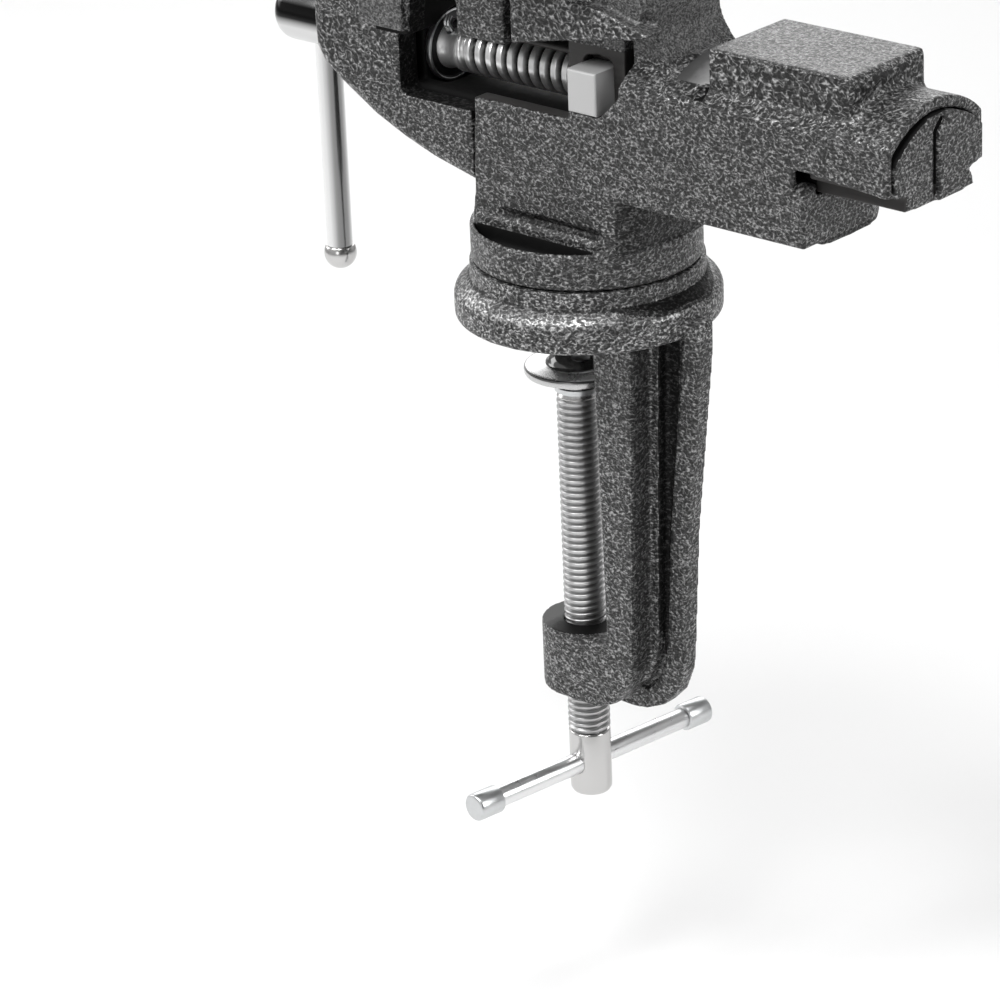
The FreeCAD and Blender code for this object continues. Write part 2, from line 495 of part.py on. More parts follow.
# bore of the lead screw
drum(jaw, "YZ_Plane", [(0, d("screw_axis"), d("screw_bore"))], -90, -48.2, cut=True)
drum(jaw, "YZ_Plane", [(0, d("screw_axis"), 11.8)], d("boss_inner"), -42.9, cut=True)
drum(jaw, "YZ_Plane", [(-d("plate_screw_y"), d("plate_screw_z"), d("plate_screw_radius") + 0.04), (d("plate_screw_y"), d("plate_screw_z"), d("plate_screw_radius") + 0.04)], -26, -10, cut=True)
keep(jaw)

# ================================================================ jaw plates and their screws
for label, x0, x1, head in (("fixed_jaw_plate", d("plate_seat") - d("plate_thick"), d("plate_seat") - 0.0, -1), ("movable_jaw_plate", d("movable_seat") + 0.0, d("movable_seat") + d("plate_thick"), 1)):
    p = new_body(label)
    block(p, "YZ_Plane", [(-jh, d("plate_low") + 0.1), (jh, d("plate_low") + 0.1), (jh, d("plate_low") + d("plate_high")), (-jh, d("plate_low") + d("plate_high"))], x0, x1)
    drum(p, "YZ_Plane", [(-d("plate_screw_y"), d("plate_screw_z"), d("plate_screw_radius") + 0.1), (d("plate_screw_y"), d("plate_screw_z"), d("plate_screw_radius") + 0.1)], -30, 5, cut=True)
    if head < 0:
        drum(p, "YZ_Plane", [(-d("plate_screw_y"), d("plate_screw_z"), 4.7), (d("plate_screw_y"), d("plate_screw_z"), 4.7)], x0 - 1, x0 + 2.6, cut=True)
    else:
        drum(p, "YZ_Plane", [(-d("plate_screw_y"), d("plate_screw_z"), 4.7), (d("plate_screw_y"), d("plate_screw_z"), 4.7)], x1 - 2.6, x1 + 1, cut=True)
    rounded(p, 0.5, lambda e: len(e.Vertexes) == 2 and e.Length > 20 and not close(abs(ends(e)[0].y), 4.7, 0.01), "PartDesign::Chamfer")
    keep(p)


def jaw_screw(name, y, face, inward):
    """Countersunk screw along X: a head in the plate and a shank in the casting."""
    head = doc.addObject("Part::Cylinder", name + "Head")
    head.Radius = 4.6
    head.Height = 2.3
    shank = doc.addObject("Part::Cylinder", name + "Shank")
    bind(shank, "Radius", d("plate_screw_radius"))
    shank.Height = 12.0
    rot = FreeCAD.Rotation(V(0, 1, 0), 90 if inward > 0 else -90)
    for o, off in ((head, 0.3), (shank, 2.0)):
        o.Placement = FreeCAD.Placement(V(face.v + inward * off, 0, 0), rot)
        bind(o, "Placement.Base.x", face + inward * off)
        bind(o, "Placement.Base.y", q(y))
        bind(o, "Placement.Base.z", d("plate_screw_z"))
    socket = doc.addObject("Part::Prism", name + "Socket")
    socket.Polygon = 6
    socket.Circumradius = 1.7
    socket.Height = 1.6
    socket.Placement = FreeCAD.Placement(V(face.v + inward * 0.2, 0, 0), rot)
    bind(socket, "Placement.Base.x", face + inward * 0.2)
    bind(socket, "Placement.Base.y", q(y))
    bind(socket, "Placement.Base.z", d("plate_screw_z"))
    fuse = doc.addObject("Part::Fuse", name + "Blank")
    fuse.Base = head
    fuse.Tool = shank
    cut = doc.addObject("Part::Cut", name)
    cut.Base = fuse
    cut.Tool = socket
    return cut


for label, face, inward in (("fixed_jaw_screws", d("plate_seat") - d("plate_thick"), 1), ("movable_jaw_screws", d("movable_seat") + d("plate_thick"), -1)):
    tag = "Fixed" if inward > 0 else "Movable"
    s_a = jaw_screw(tag + "ScrewNear", -d("plate_screw_y"), face, inward)
    s_b = jaw_screw(tag + "ScrewFar", d("plate_screw_y"), face, inward)
    comp = doc.addObject("Part::Compound", label)
    comp.Links = [s_a, s_b]
    keep(comp, label)

# ================================================================ lead screw and what it carries
screw = new_body("lead_screw")
r7 = d("screw_radius")
turned(screw, [(d("screw_head_end"), 0), (d("screw_head_end"), 5.2), (d("screw_head_end") + 0.9, 7.2), (d("screw_head_end") + 2.4, 8.5), (d("screw_head_end") + 4.4, d("screw_head_radius")),
               (-89.2, d("screw_head_radius")), (-88.7, 8.5), (-88.7, r7), (d("washer_face"), r7), (d("washer_face") + 0.5, 6.4), (-42.2, 6.4), (-41.4, r7), (86.6, r7), (88.0, 5.7), (88.0, 0)], "X_Axis")
drum(screw, "XY_Plane", [(d("handle_x"), 0, d("handle_hole"))], -12, 12, cut=True)
lift(screw, z=d("screw_axis"))
keep(screw)

fw = new_body("front_thrust_washer")
turned(fw, [(-88.6, r7 + 0.1), (-88.6, 11.6), (-87.15, 11.6), (-87.15, r7 + 0.1)], "X_Axis")
lift(fw, z=d("screw_axis"))
keep(fw)

rw = new_body("rear_thrust_washer")
wf = d("washer_face")
turned(rw, [(wf - 2.6, r7 + 0.05), (wf - 2.6, 9.6), (wf - 1.7, 10.5), (wf, 10.5), (wf, 9.7), (wf - 0.6, 9.0), (wf - 0.6, r7 + 0.05)], "X_Axis")
lift(rw, z=d("screw_axis"))
keep(rw)

pin_ = new_body("retaining_pin")
drum(pin_, "XY_Plane", [(0, 0, 1.25)], -9.0, 10.4)
drum(pin_, "XY_Plane", [(0, 0, 1.75)], -11.2, -9.0)
pin_.Placement = FreeCAD.Placement(V(VAL["pin_x"], 0, VAL["screw_axis"]), FreeCAD.Rotation(V(1, 0, 0), VAL["pin_tilt"]))
bind(pin_, "Placement.Base.x", d("pin_x"))
bind(pin_, "Placement.Base.z", d("screw_axis"))
keep(pin_)

# ================================================================ main handle
hb = new_body("main_handle")
hr = d("handle_radius")
turned(hb, [(0, d("ball_low") - 0.5), (2.9, d("ball_low") - 0.5), (2.9, d("ball_low") + 2.55), (hr, d("ball_low") + 2.55), (hr, d("ball_high") - 2.55), (2.9, d("ball_high") - 2.55), (2.9, d("ball_high") + 0.5), (0, d("ball_high") + 0.5)])
lift(hb, x=d("handle_x"))
keep(hb)


def ball(label, centre, up):
    """Turned ball end, cut flat on the side that faces the bar."""
    o = new_body(label)
    rr = d("ball_radius")
    n = 12
    # profile from the closed pole round to the flat that faces the bar
    prof = [(0, centre - up * rr)]
    top = 180.0 - math.degrees(math.acos(2.5 / rr.v))
    for k in range(1, n):
        t = math.radians(top * k / (n - 1))
        prof.append((rr * math.sin(t), centre - up * (rr * math.cos(t))))
    prof.append((2.95, prof[-1][1]))
    prof.append((2.95, centre - up * 0.55))
    prof.append((0, centre - up * 0.55))
    turned(o, prof)
    lift(o, x=d("handle_x"))
    return keep(o)


ball("handle_ball_lower", d("ball_low"), 1)
ball("handle_ball_upper", d("ball_high"), -1)

# ================================================================ clamp screw, pad and T-bar
cs = new_body("clamp_screw")
cr = d("clamp_radius")
turned(cs, [(0, d("clamp_head_low")), (5.0, d("clamp_head_low")), (cr - 0.05, d("clamp_head_low") + 1.3), (cr - 0.05, d("clamp_head_top") - 0.3), (cr - 0.35, d("clamp_head_top")), (5.3, d("clamp_head_top") + 0.4),
            (5.3, d("clamp_head_top") + 1.4), (cr, d("clamp_head_top") + 2.4), (cr, -27.2), (5.2, -26.1), (3.9, -26.1), (3.9, -16.4), (3.2, -15.8), (0, -15.8)])
turn = math.radians(VAL["bar_turn"])
ux, uy = math.sin(turn), math.cos(turn)
lift(cs, x=d("clamp_x"))
keep(cs)


def bar_body(label, profile):
    """Piece turned about the T-bar's own axis, then laid across the clamp screw's head."""
    o = new_body(label)
    turned(o, profile)
    o.Placement = FreeCAD.Placement(V(VAL["clamp_x"], 0, VAL["bar_z"]), FreeCAD.Rotation(V(0, 0, 1), V(ux, uy, 0)))
    bind(o, "Placement.Base.x", d("clamp_x"))
    bind(o, "Placement.Base.z", d("bar_z"))
    return keep(o)


br = d("bar_radius")
bar_body("clamp_bar", [(0, d("bar_near") + 1.5), (2.3, d("bar_near") + 1.5), (2.3, d("bar_near") + d("cap_length")), (br, d("bar_near") + d("cap_length")), (br, d("bar_far") - d("cap_length")),
                       (2.3, d("bar_far") - d("cap_length")), (2.3, d("bar_far") - 1.5), (0, d("bar_far") - 1.5)])
cpr = d("cap_radius")
bar_body("clamp_bar_cap_near", [(0, d("bar_near")), (cpr - 0.5, d("bar_near")), (cpr, d("bar_near") + 0.5), (cpr, d("bar_near") + d("cap_length") - 0.4), (cpr - 0.4, d("bar_near") + d("cap_length")),
                                (2.35, d("bar_near") + d("cap_length")), (2.35, d("bar_near") + 1.45), (0, d("bar_near") + 1.45)])
bar_body("clamp_bar_cap_far", [(0, d("bar_far") - 1.45), (2.35, d("bar_far") - 1.45), (2.35, d("bar_far") - d("cap_length")), (cpr - 0.4, d("bar_far") - d("cap_length")), (cpr, d("bar_far") - d("cap_length") + 0.4),
                               (cpr, d("bar_far") - 0.5), (cpr - 0.5, d("bar_far")), (0, d("bar_far"))])

pad = new_body("clamp_pad")
turned(pad, [(0, d("pad_top") - 2.0), (4.3, d("pad_top") - 2.0), (4.3, -24.1), (6.9, -24.1), (7.1, -19.7), (13.4, d("pad_rim_low")), (d("pad_radius") - 0.4, d("pad_rim_low")), (d("pad_radius"), d("pad_rim_low") + 0.5),
             (d("pad_radius"), -18.5), (d("pad_radius") - 0.4, -18.1), (9.4, -17.7), (8.3, -17.1), (7.8, -15.9), (6.8, -14.7), (5.2, d("pad_top") - 0.35), (3.4, d("pad_top")), (0, d("pad_top"))])
lift(pad, x=d("clamp_x"))
keep(pad)

pw = new_body("pad_ring")
turned(pw, [(4.0, -25.95), (6.6, -25.95), (6.6, -24.5), (4.0, -24.5)])
lift(pw, x=d("clamp_x"))
keep(pw)

doc.recompute()

# hole of the retaining pin
pin_hole = doc.addObject("Part::Cylinder", "PinHole")
pin_hole.Radius = 1.3
pin_hole.Height = 24.0
tilt = math.radians(VAL["pin_tilt"])
pin_hole.Placement = FreeCAD.Placement(V(VAL["pin_x"], 12 * math.sin(tilt), VAL["screw_axis"] - 12 * math.cos(tilt)), FreeCAD.Rotation(V(1, 0, 0), VAL["pin_tilt"]))
bind(pin_hole, "Placement.Base.x", d("pin_x"))
pinned = doc.addObject("Part::Cut", "LeadScrewDrilled")
pinned.Base = screw
pinned.Tool = pin_hole
doc.recompute()
screw.Label = "lead_screw_blank"
pinned.Label = "lead_screw"
PARTS[PARTS.index(screw)] = pinned

# cross hole of the clamp screw's head, along the T-bar
hole = doc.addObject("Part::Cylinder", "BarHole")
bind(hole, "Radius", d("bar_hole"))
hole.Height = 30.0
hole.Placement = FreeCAD.Placement(V(VAL["clamp_x"] - 15 * ux, -15 * uy, VAL["bar_z"]), FreeCAD.Rotation(V(0, 0, 1), V(ux, uy, 0)))
bind(hole, "Placement.Base.z", d("bar_z"))
drilled = doc.addObject("Part::Cut", "ClampScrewDrilled")
drilled.Base = cs
drilled.Tool = hole
doc.recompute()
cs.Label = "clamp_screw_blank"
drilled.Label = "clamp_screw"
PARTS[PARTS.index(cs)] = drilled

# ---------------------------------------------------------------- check and write
doc.recompute()
bad = []
for o in doc.Objects:
    if "Invalid" in o.State or "Error" in o.State:
        bad.append(o.Name + " " + str(o.State))
for o in PARTS:
    if o.Shape.isNull() or not o.Shape.isValid():
        bad.append(o.Label + " shape")
    n = len(o.Shape.Solids)
    want = 2 if o.Label.endswith("jaw_screws") else 1
    if n != want:
        bad.append("%s has %d solids" % (o.Label, n))
if bad:
    raise RuntimeError("; ".join(bad))

os.makedirs("parts", exist_ok=True)
for o in PARTS:
    shape = o.Shape
    bb = shape.BoundBox
    print("%-22s vol %9.1f  x %7.2f %7.2f  y %7.2f %7.2f  z %7.2f %7.2f" % (o.Label, shape.Volume, bb.XMin, bb.XMax, bb.YMin, bb.YMax, bb.ZMin, bb.ZMax))
    shape.exportStep("parts/" + o.Label + ".step")
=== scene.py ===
import math
import bpy
import bmesh
from mathutils import Vector, Matrix


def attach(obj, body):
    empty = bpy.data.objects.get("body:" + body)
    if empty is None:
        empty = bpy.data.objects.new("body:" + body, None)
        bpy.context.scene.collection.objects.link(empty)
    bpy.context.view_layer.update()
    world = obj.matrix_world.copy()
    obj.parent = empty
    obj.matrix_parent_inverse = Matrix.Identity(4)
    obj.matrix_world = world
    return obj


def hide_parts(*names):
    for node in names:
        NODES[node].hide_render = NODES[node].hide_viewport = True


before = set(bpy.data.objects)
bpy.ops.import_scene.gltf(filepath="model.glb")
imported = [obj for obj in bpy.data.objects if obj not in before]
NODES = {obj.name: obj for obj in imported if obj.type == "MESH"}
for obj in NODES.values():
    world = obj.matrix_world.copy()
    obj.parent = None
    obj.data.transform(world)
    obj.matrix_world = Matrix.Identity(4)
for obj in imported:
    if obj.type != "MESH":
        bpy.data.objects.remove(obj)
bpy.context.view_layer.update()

MM = 0.001
scene = bpy.context.scene
coll = scene.collection


# ------------------------------------------------------------------ small helpers
def link(obj):
    if obj.name not in coll.objects:
        coll.objects.link(obj)
    return obj


def mesh_object(name, verts, faces):
    me = bpy.data.meshes.new(name)
    me.from_pydata([(v[0] * MM, v[1] * MM, v[2] * MM) for v in verts], [], faces)
    me.validate()
    me.update()
    return link(bpy.data.objects.new(name, me))


def smooth_by_angle(obj, deg=35.0):
    me = obj.data
    for p in me.polygons:
        p.use_smooth = True
    me.set_sharp_from_angle(angle=math.radians(deg))
    me.update()
    return obj


def bake(obj):
    """Applies the object's modifiers."""
    bpy.context.view_layer.update()
    dg = bpy.context.evaluated_depsgraph_get()
    me = bpy.data.meshes.new_from_object(obj.evaluated_get(dg))
    old = obj.data
    obj.modifiers.clear()
    obj.data = me
    me.name = obj.name
    if old.users == 0:
        bpy.data.meshes.remove(old)
    return obj


def copy_node(node, name):
    me = NODES[node].data.copy()
    me.materials.clear()
    obj = link(bpy.data.objects.new(name, me))
    bm = bmesh.new()
    bm.from_mesh(me)
    bmesh.ops.remove_doubles(bm, verts=bm.verts, dist=1e-6)
    bm.to_mesh(me)
    bm.free()
    return obj


def lathe(name, prof, axis="Z", centre=(0, 0, 0), n=96, direction=None):
    """Turns (radius, along) points about an axis through centre. Sizes in mm."""
    verts, faces = [], []
    rings = []
    for r, a in prof:
        if r < 1e-6:
            rings.append([len(verts)])
            verts.append((0, 0, a))
        else:
            rings.append(list(range(len(verts), len(verts) + n)))
            for k in range(n):
                t = 2 * math.pi * k / n
                verts.append((r * math.cos(t), r * math.sin(t), a))
    for i in range(len(rings) - 1):
        A, B = rings[i], rings[i + 1]
        for k in range(n):
            j = (k + 1) % n
            if len(A) == 1 and len(B) == 1:
                continue
            if len(A) == 1:
                faces.append((A[0], B[j], B[k]))
            elif len(B) == 1:
                faces.append((A[k], A[j], B[0]))
            else:
                faces.append((A[k], A[j], B[j], B[k]))
    verts = aim(verts, axis, centre, direction)
    obj = mesh_object(name, verts, faces)
    fix_normals(obj)
    return obj


def aim(verts, axis, centre, direction):
    if direction is None:
        direction = {"X": (1, 0, 0), "Y": (0, 1, 0), "Z": (0, 0, 1)}[axis]
    rot = Vector((0, 0, 1)).rotation_difference(Vector(direction).normalized()).to_matrix()
    c = Vector(centre)
    return [tuple(rot @ Vector(v) + c) for v in verts]


def fix_normals(obj):
    bm = bmesh.new()
    bm.from_mesh(obj.data)
    bmesh.ops.recalc_face_normals(bm, faces=bm.faces)
    bm.to_mesh(obj.data)
    bm.free()


def thread_profile(f, crest, root, flank):
    """Depth 0..1 at phase f of one turn: 0 on the crest, 1 in the root, eased flanks."""
    f = f % 1.0
    if f < crest:
        return 0.0
    f -= crest
    if f < flank:
        t = f / flank
        return 0.5 - 0.5 * math.cos(math.pi * t)
    f -= flank
    if f < root:
        return 1.0
    f -= root
    t = min(1.0, f / flank)
    return 0.5 + 0.5 * math.cos(math.pi * t)


def thread(name, a0, a1, r, depth, pitch, crest, root, direction, centre, n=64, steps=12, fade0=1.0, fade1=1.0):
    """Right-hand helical thread between a0 and a1 along direction, closed by flat ends. mm."""
    flank = (1.0 - crest - root) / 2
    rows = int(math.ceil((a1 - a0) / pitch)) * steps + steps * 2
    verts, faces = [], []
    for i in range(rows + 1):
        for j in range(n):
            th = 2 * math.pi * j / n
            raw = a0 - pitch + pitch * (i / steps) + pitch * (j / n)
            a = min(a1, max(a0, raw))
            dep = thread_profile(i / steps, crest, root, flank) * depth
            edge = min(1.0, max(0.0, (a - a0) / max(1e-6, fade0 * pitch))) * min(1.0, max(0.0, (a1 - a) / max(1e-6, fade1 * pitch)))
            rr = r - dep * edge
            verts.append((rr * math.cos(th), rr * math.sin(th), a))
    for i in range(rows):
        for j in range(n):
            if j < n - 1:
                q = (i * n + j, i * n + j + 1, (i + 1) * n + j + 1, (i + 1) * n + j)
            else:
                if i + 1 + steps > rows:
                    continue
                q = (i * n + j, (i + steps) * n, (i + 1 + steps) * n, (i + 1) * n + j)
            pts = [verts[k] for k in q]
            if max(p[2] for p in pts) - min(p[2] for p in pts) < 1e-6:
                continue
            faces.append(q)
    verts = aim(verts, "Z", centre, direction)
    obj = mesh_object(name, verts, faces)
    bm = bmesh.new()
    bm.from_mesh(obj.data)
    bmesh.ops.remove_doubles(bm, verts=bm.verts, dist=2e-6)
    bmesh.ops.dissolve_degenerate(bm, edges=bm.edges, dist=1e-6)
    loose = [v for v in bm.verts if not v.link_faces]
    bmesh.ops.delete(bm, geom=loose, context="VERTS")
    bmesh.ops.holes_fill(bm, edges=[e for e in bm.edges if e.is_boundary], sides=0)
    bmesh.ops.recalc_face_normals(bm, faces=bm.faces)
    bm.to_mesh(obj.data)
    bm.free()
    return obj


def cylinder(name, r, a0, a1, direction, centre, n=64):
    return lathe(name, [(0, a0), (r, a0), (r, a1), (0, a1)], "Z", centre, n, direction)


def cut(obj, tool):
    m = obj.modifiers.new("cut", "BOOLEAN")
    m.operation = "DIFFERENCE"
    m.solver = "EXACT"
    m.object = tool
    bake(obj)
    me = tool.data
    bpy.data.objects.remove(tool)
    bpy.data.meshes.remove(me)
    return obj


def bevel(obj, width, segments=2, deg=38.0):
    m = obj.modifiers.new("bevel", "BEVEL")
    m.width = width * MM
    m.segments = segments
    m.limit_method = "ANGLE"
    m.angle_limit = math.radians(deg)
    m.harden_normals = False
    m.use_clamp_overlap = True
    return bake(obj)


def dissolve(obj, deg=1.5):
    bm = bmesh.new()
    bm.from_mesh(obj.data)
    bmesh.ops.dissolve_limit(bm, angle_limit=math.radians(deg), verts=bm.verts, edges=bm.edges)
    bm.to_mesh(obj.data)
    bm.free()


def join(name, parts):
    bm = bmesh.new()
    mats = []
    for o in parts:
        bm.from_mesh(o.data)
    me = bpy.data.meshes.new(name)
    bm.to_mesh(me)
    bm.free()
    for o in parts:
        old = o.data
        bpy.data.objects.remove(o)
        bpy.data.meshes.remove(old)
    return link(bpy.data.objects.new(name, me))


def cast(node, name, voxel=0.55, rounds=5, factor=0.5):
    """A casting: the CAD solid with the soft edges and fillets of a sand casting."""
    obj = copy_node(node, name)
    m = obj.modifiers.new("skin", "REMESH")
    m.mode = "VOXEL"
    m.voxel_size = voxel * MM
    m.adaptivity = 0.0
    s = obj.modifiers.new("soft", "SMOOTH")
    s.factor = factor
    s.iterations = rounds
    bake(obj)
    for p in obj.data.polygons:
        p.use_smooth = True
    return obj


# ------------------------------------------------------------------ materials
def new_mat(name):
    m = bpy.data.materials.new(name)
    m.use_nodes = True
    nt = m.node_tree
    nt.nodes.clear()
    out = nt.nodes.new("ShaderNodeOutputMaterial")
    p = nt.nodes.new("ShaderNodeBsdfPrincipled")
    nt.links.new(p.outputs[0], out.inputs[0])
    return m, nt, p


def node(nt, kind, **props):
    n = nt.nodes.new(kind)
    for k, v in props.items():
        if k == "inputs":
            for name, val in v.items():
                n.inputs[name].default_value = val
        else:
            setattr(n, k, v)
    return n


def ramp(nt, src, stops):
    r = nt.nodes.new("ShaderNodeValToRGB")
    e = r.color_ramp.elements
    e[0].position, e[0].color = stops[0][0], (*([stops[0][1]] * 3), 1) if not isinstance(stops[0][1], tuple) else (*stops[0][1], 1)
    e[1].position, e[1].color = stops[-1][0], (*([stops[-1][1]] * 3), 1) if not isinstance(stops[-1][1], tuple) else (*stops[-1][1], 1)
    for pos, c in stops[1:-1]:
        x = e.new(pos)
        x.color = (*([c] * 3), 1) if not isinstance(c, tuple) else (*c, 1)
    nt.links.new(src, r.inputs[0])
    return r.outputs[0]


def math_node(nt, op, a, b=None, clamp=False):
    n = nt.nodes.new("ShaderNodeMath")
    n.operation = op
    n.use_clamp = clamp
    for k, v in enumerate((a, b)):
        if v is None:
            continue
        if isinstance(v, (int, float)):
            n.inputs[k].default_value = v
        else:
            nt.links.new(v, n.inputs[k])
    return n.outputs[0]


def hammertone(name, tones=(0.006, 0.036, 0.104, 0.330), bump=1.0, rough=(0.48, 0.28), scale=560.0, edge=9.0, rise=1.35, gloss=0.55, metallic=0.25):
    """Hammered paint: fine light veins that wander over a darker ground with small pits."""
    m, nt, p = new_mat(name)
    tc = node(nt, "ShaderNodeTexCoord")
    mp = node(nt, "ShaderNodeMapping")
    mp.inputs["Scale"].default_value = (1.0, 1.0, rise)
    nt.links.new(tc.outputs["Object"], mp.inputs[0])
    veins = node(nt, "ShaderNodeTexNoise", inputs={"Scale": scale, "Detail": 1.2, "Roughness": 0.5, "Distortion": 0.35})
    nt.links.new(mp.outputs[0], veins.inputs["Vector"])
    grain = node(nt, "ShaderNodeTexNoise", inputs={"Scale": scale * 1.9, "Detail": 1.5, "Roughness": 0.6, "Distortion": 0.2})
    nt.links.new(mp.outputs[0], grain.inputs["Vector"])
    off = math_node(nt, "ABSOLUTE", math_node(nt, "SUBTRACT", veins.outputs["Fac"], 0.5))
    ridge = math_node(nt, "SUBTRACT", 1.0, math_node(nt, "MULTIPLY", off, edge), True)
    pit = math_node(nt, "MULTIPLY", math_node(nt, "SUBTRACT", grain.outputs["Fac"], 0.5), 2.1)
    h = math_node(nt, "ADD", math_node(nt, "MULTIPLY", ridge, 0.62), math_node(nt, "ADD", pit, 0.16), True)
    col = ramp(nt, h, [(0.02, tones[0]), (0.36, tones[1]), (0.66, tones[2]), (0.98, tones[3])])
    nt.links.new(col, p.inputs["Base Color"])
    r = ramp(nt, h, [(0.1, rough[0]), (0.9, rough[1])])
    nt.links.new(r, p.inputs["Roughness"])
    p.inputs["Metallic"].default_value = metallic
    p.inputs["Specular IOR Level"].default_value = gloss
    b = node(nt, "ShaderNodeBump")
    b.inputs["Strength"].default_value = 0.55 * bump
    b.inputs["Distance"].default_value = 0.00022
    nt.links.new(h, b.inputs["Height"])
    nt.links.new(b.outputs[0], p.inputs["Normal"])
    return m


def metal(name, color, rough, scale=0.0, rough_var=0.0, bump=0.0, stretch=(1, 1, 1), dark=0.0, metallic=1.0, gloss=0.5):
    m, nt, p = new_mat(name)
    p.inputs["Specular IOR Level"].default_value = gloss
    p.inputs["Base Color"].default_value = (*color, 1)
    p.inputs["Metallic"].default_value = metallic
    p.inputs["Roughness"].default_value = rough
    if scale:
        tc = node(nt, "ShaderNodeTexCoord")
        mp = node(nt, "ShaderNodeMapping")
        mp.inputs["Scale"].default_value = stretch
        nt.links.new(tc.outputs["Object"], mp.inputs[0])
        n = node(nt, "ShaderNodeTexNoise", inputs={"Scale": scale, "Detail": 4.0, "Roughness": 0.6})
        nt.links.new(mp.outputs[0], n.inputs["Vector"])
        r = ramp(nt, n.outputs["Fac"], [(0.3, max(0.02, rough - rough_var)), (0.7, rough + rough_var)])
        nt.links.new(r, p.inputs["Roughness"])
        if dark:
            c = ramp(nt, n.outputs["Fac"], [(0.30, tuple(x * (1 - dark) for x in color)), (0.62, color)])
            nt.links.new(c, p.inputs["Base Color"])
        if bump:
            b = node(nt, "ShaderNodeBump")
            b.inputs["Strength"].default_value = 0.35
            b.inputs["Distance"].default_value = bump
            nt.links.new(n.outputs["Fac"], b.inputs["Height"])
            nt.links.new(b.outputs[0], p.inputs["Normal"])
    return m


def banded(name, rough, centre, direction, stops, around=True, radius=1.0):
    """Polished metal whose tone changes round its axis (around) or along a direction: a painted reflection. Sizes in
    mm.
    """
    m, nt, p = new_mat(name)
    p.inputs["Metallic"].default_value = 1.0
    p.inputs["Roughness"].default_value = rough
    tc = node(nt, "ShaderNodeTexCoord")
    off = nt.nodes.new("ShaderNodeVectorMath")
    off.operation = "SUBTRACT"
    off.inputs[1].default_value = tuple(c * MM for c in centre)
    nt.links.new(tc.outputs["Object"], off.inputs[0])
    src = off.outputs[0]
    if around:
        flat = nt.nodes.new("ShaderNodeVectorMath")
        flat.operation = "MULTIPLY"
        flat.inputs[1].default_value = (1.0, 1.0, 0.0)
        nt.links.new(src, flat.inputs[0])
        unit = nt.nodes.new("ShaderNodeVectorMath")
        unit.operation = "NORMALIZE"
        nt.links.new(flat.outputs[0], unit.inputs[0])
        src = unit.outputs[0]
        gain = 0.5
    else:
        gain = 0.5 / (radius * MM)
    dp = nt.nodes.new("ShaderNodeVectorMath")
    dp.operation = "DOT_PRODUCT"
    dp.inputs[1].default_value = direction
    nt.links.new(src, dp.inputs[0])
    t = math_node(nt, "ADD", math_node(nt, "MULTIPLY", dp.outputs["Value"], gain), 0.5, True)
    nt.links.new(ramp(nt, t, stops), p.inputs["Base Color"])
    return m


def rolled(name, rough, axis, centre, r0, r1, tones, metallic=1.0, gloss=0.8):
    """Threaded steel: painted shade in the roots and a painted highlight on the crests, the colour following the
    distance from the axis. Radii and centre in mm.
    """
    m, nt, p = new_mat(name)
    p.inputs["Metallic"].default_value = metallic
    p.inputs["Roughness"].default_value = rough
    p.inputs["Specular IOR Level"].default_value = gloss
    tc = node(nt, "ShaderNodeTexCoord")
    off = nt.nodes.new("ShaderNodeVectorMath")
    off.operation = "SUBTRACT"
    off.inputs[1].default_value = tuple(c * MM for c in centre)
    nt.links.new(tc.outputs["Object"], off.inputs[0])
    flat = nt.nodes.new("ShaderNodeVectorMath")
    flat.operation = "MULTIPLY"
    flat.inputs[1].default_value = (0.0, 1.0, 1.0) if axis == "X" else (1.0, 1.0, 0.0)
    nt.links.new(off.outputs[0], flat.inputs[0])
    size = nt.nodes.new("ShaderNodeVectorMath")
    size.operation = "LENGTH"
    nt.links.new(flat.outputs[0], size.inputs[0])
    n = node(nt, "ShaderNodeTexNoise", inputs={"Scale": 700.0, "Detail": 3.0, "Roughness": 0.6})
    nt.links.new(tc.outputs["Object"], n.inputs["Vector"])
    wob = math_node(nt, "MULTIPLY", math_node(nt, "SUBTRACT", n.outputs["Fac"], 0.5), 0.35)
    t = math_node(nt, "ADD", math_node(nt, "DIVIDE", math_node(nt, "SUBTRACT", size.outputs["Value"], r0 * MM), (r1 - r0) * MM), wob, True)
    nt.links.new(ramp(nt, t, [(0.0, tones[0]), (0.45, tones[1]), (0.95, tones[2])]), p.inputs["Base Color"])
    return m


def run_out(name):
    """Smooth thin paint in the hollow between the upright and the anvil, with painted shade near the upright and a
    painted sheen lighter towards the anvil.
    """
    m, nt, p = new_mat(name)
    p.inputs["Roughness"].default_value = 0.5
    tc = node(nt, "ShaderNodeTexCoord")
    sx = nt.nodes.new("ShaderNodeSeparateXYZ")
    nt.links.new(tc.outputs["Object"], sx.inputs[0])
    n = node(nt, "ShaderNodeTexNoise", inputs={"Scale": 420.0, "Detail": 3.0, "Roughness": 0.6})
    nt.links.new(tc.outputs["Object"], n.inputs["Vector"])
    wob = math_node(nt, "MULTIPLY", math_node(nt, "SUBTRACT", n.outputs["Fac"], 0.5), 0.25)
    t = math_node(nt, "ADD", math_node(nt, "DIVIDE", math_node(nt, "SUBTRACT", sx.outputs["X"], 0.0455), 0.0125), wob, True)
    nt.links.new(ramp(nt, t, [(0.0, 0.030), (0.35, 0.055), (0.62, 0.16), (0.92, 0.27), (1.0, 0.12)]), p.inputs["Base Color"])
    b = node(nt, "ShaderNodeBump")
    b.inputs["Strength"].default_value = 0.25
    b.inputs["Distance"].default_value = 0.0001
    nt.links.new(n.outputs["Fac"], b.inputs["Height"])
    nt.links.new(b.outputs[0], p.inputs["Normal"])
    return m


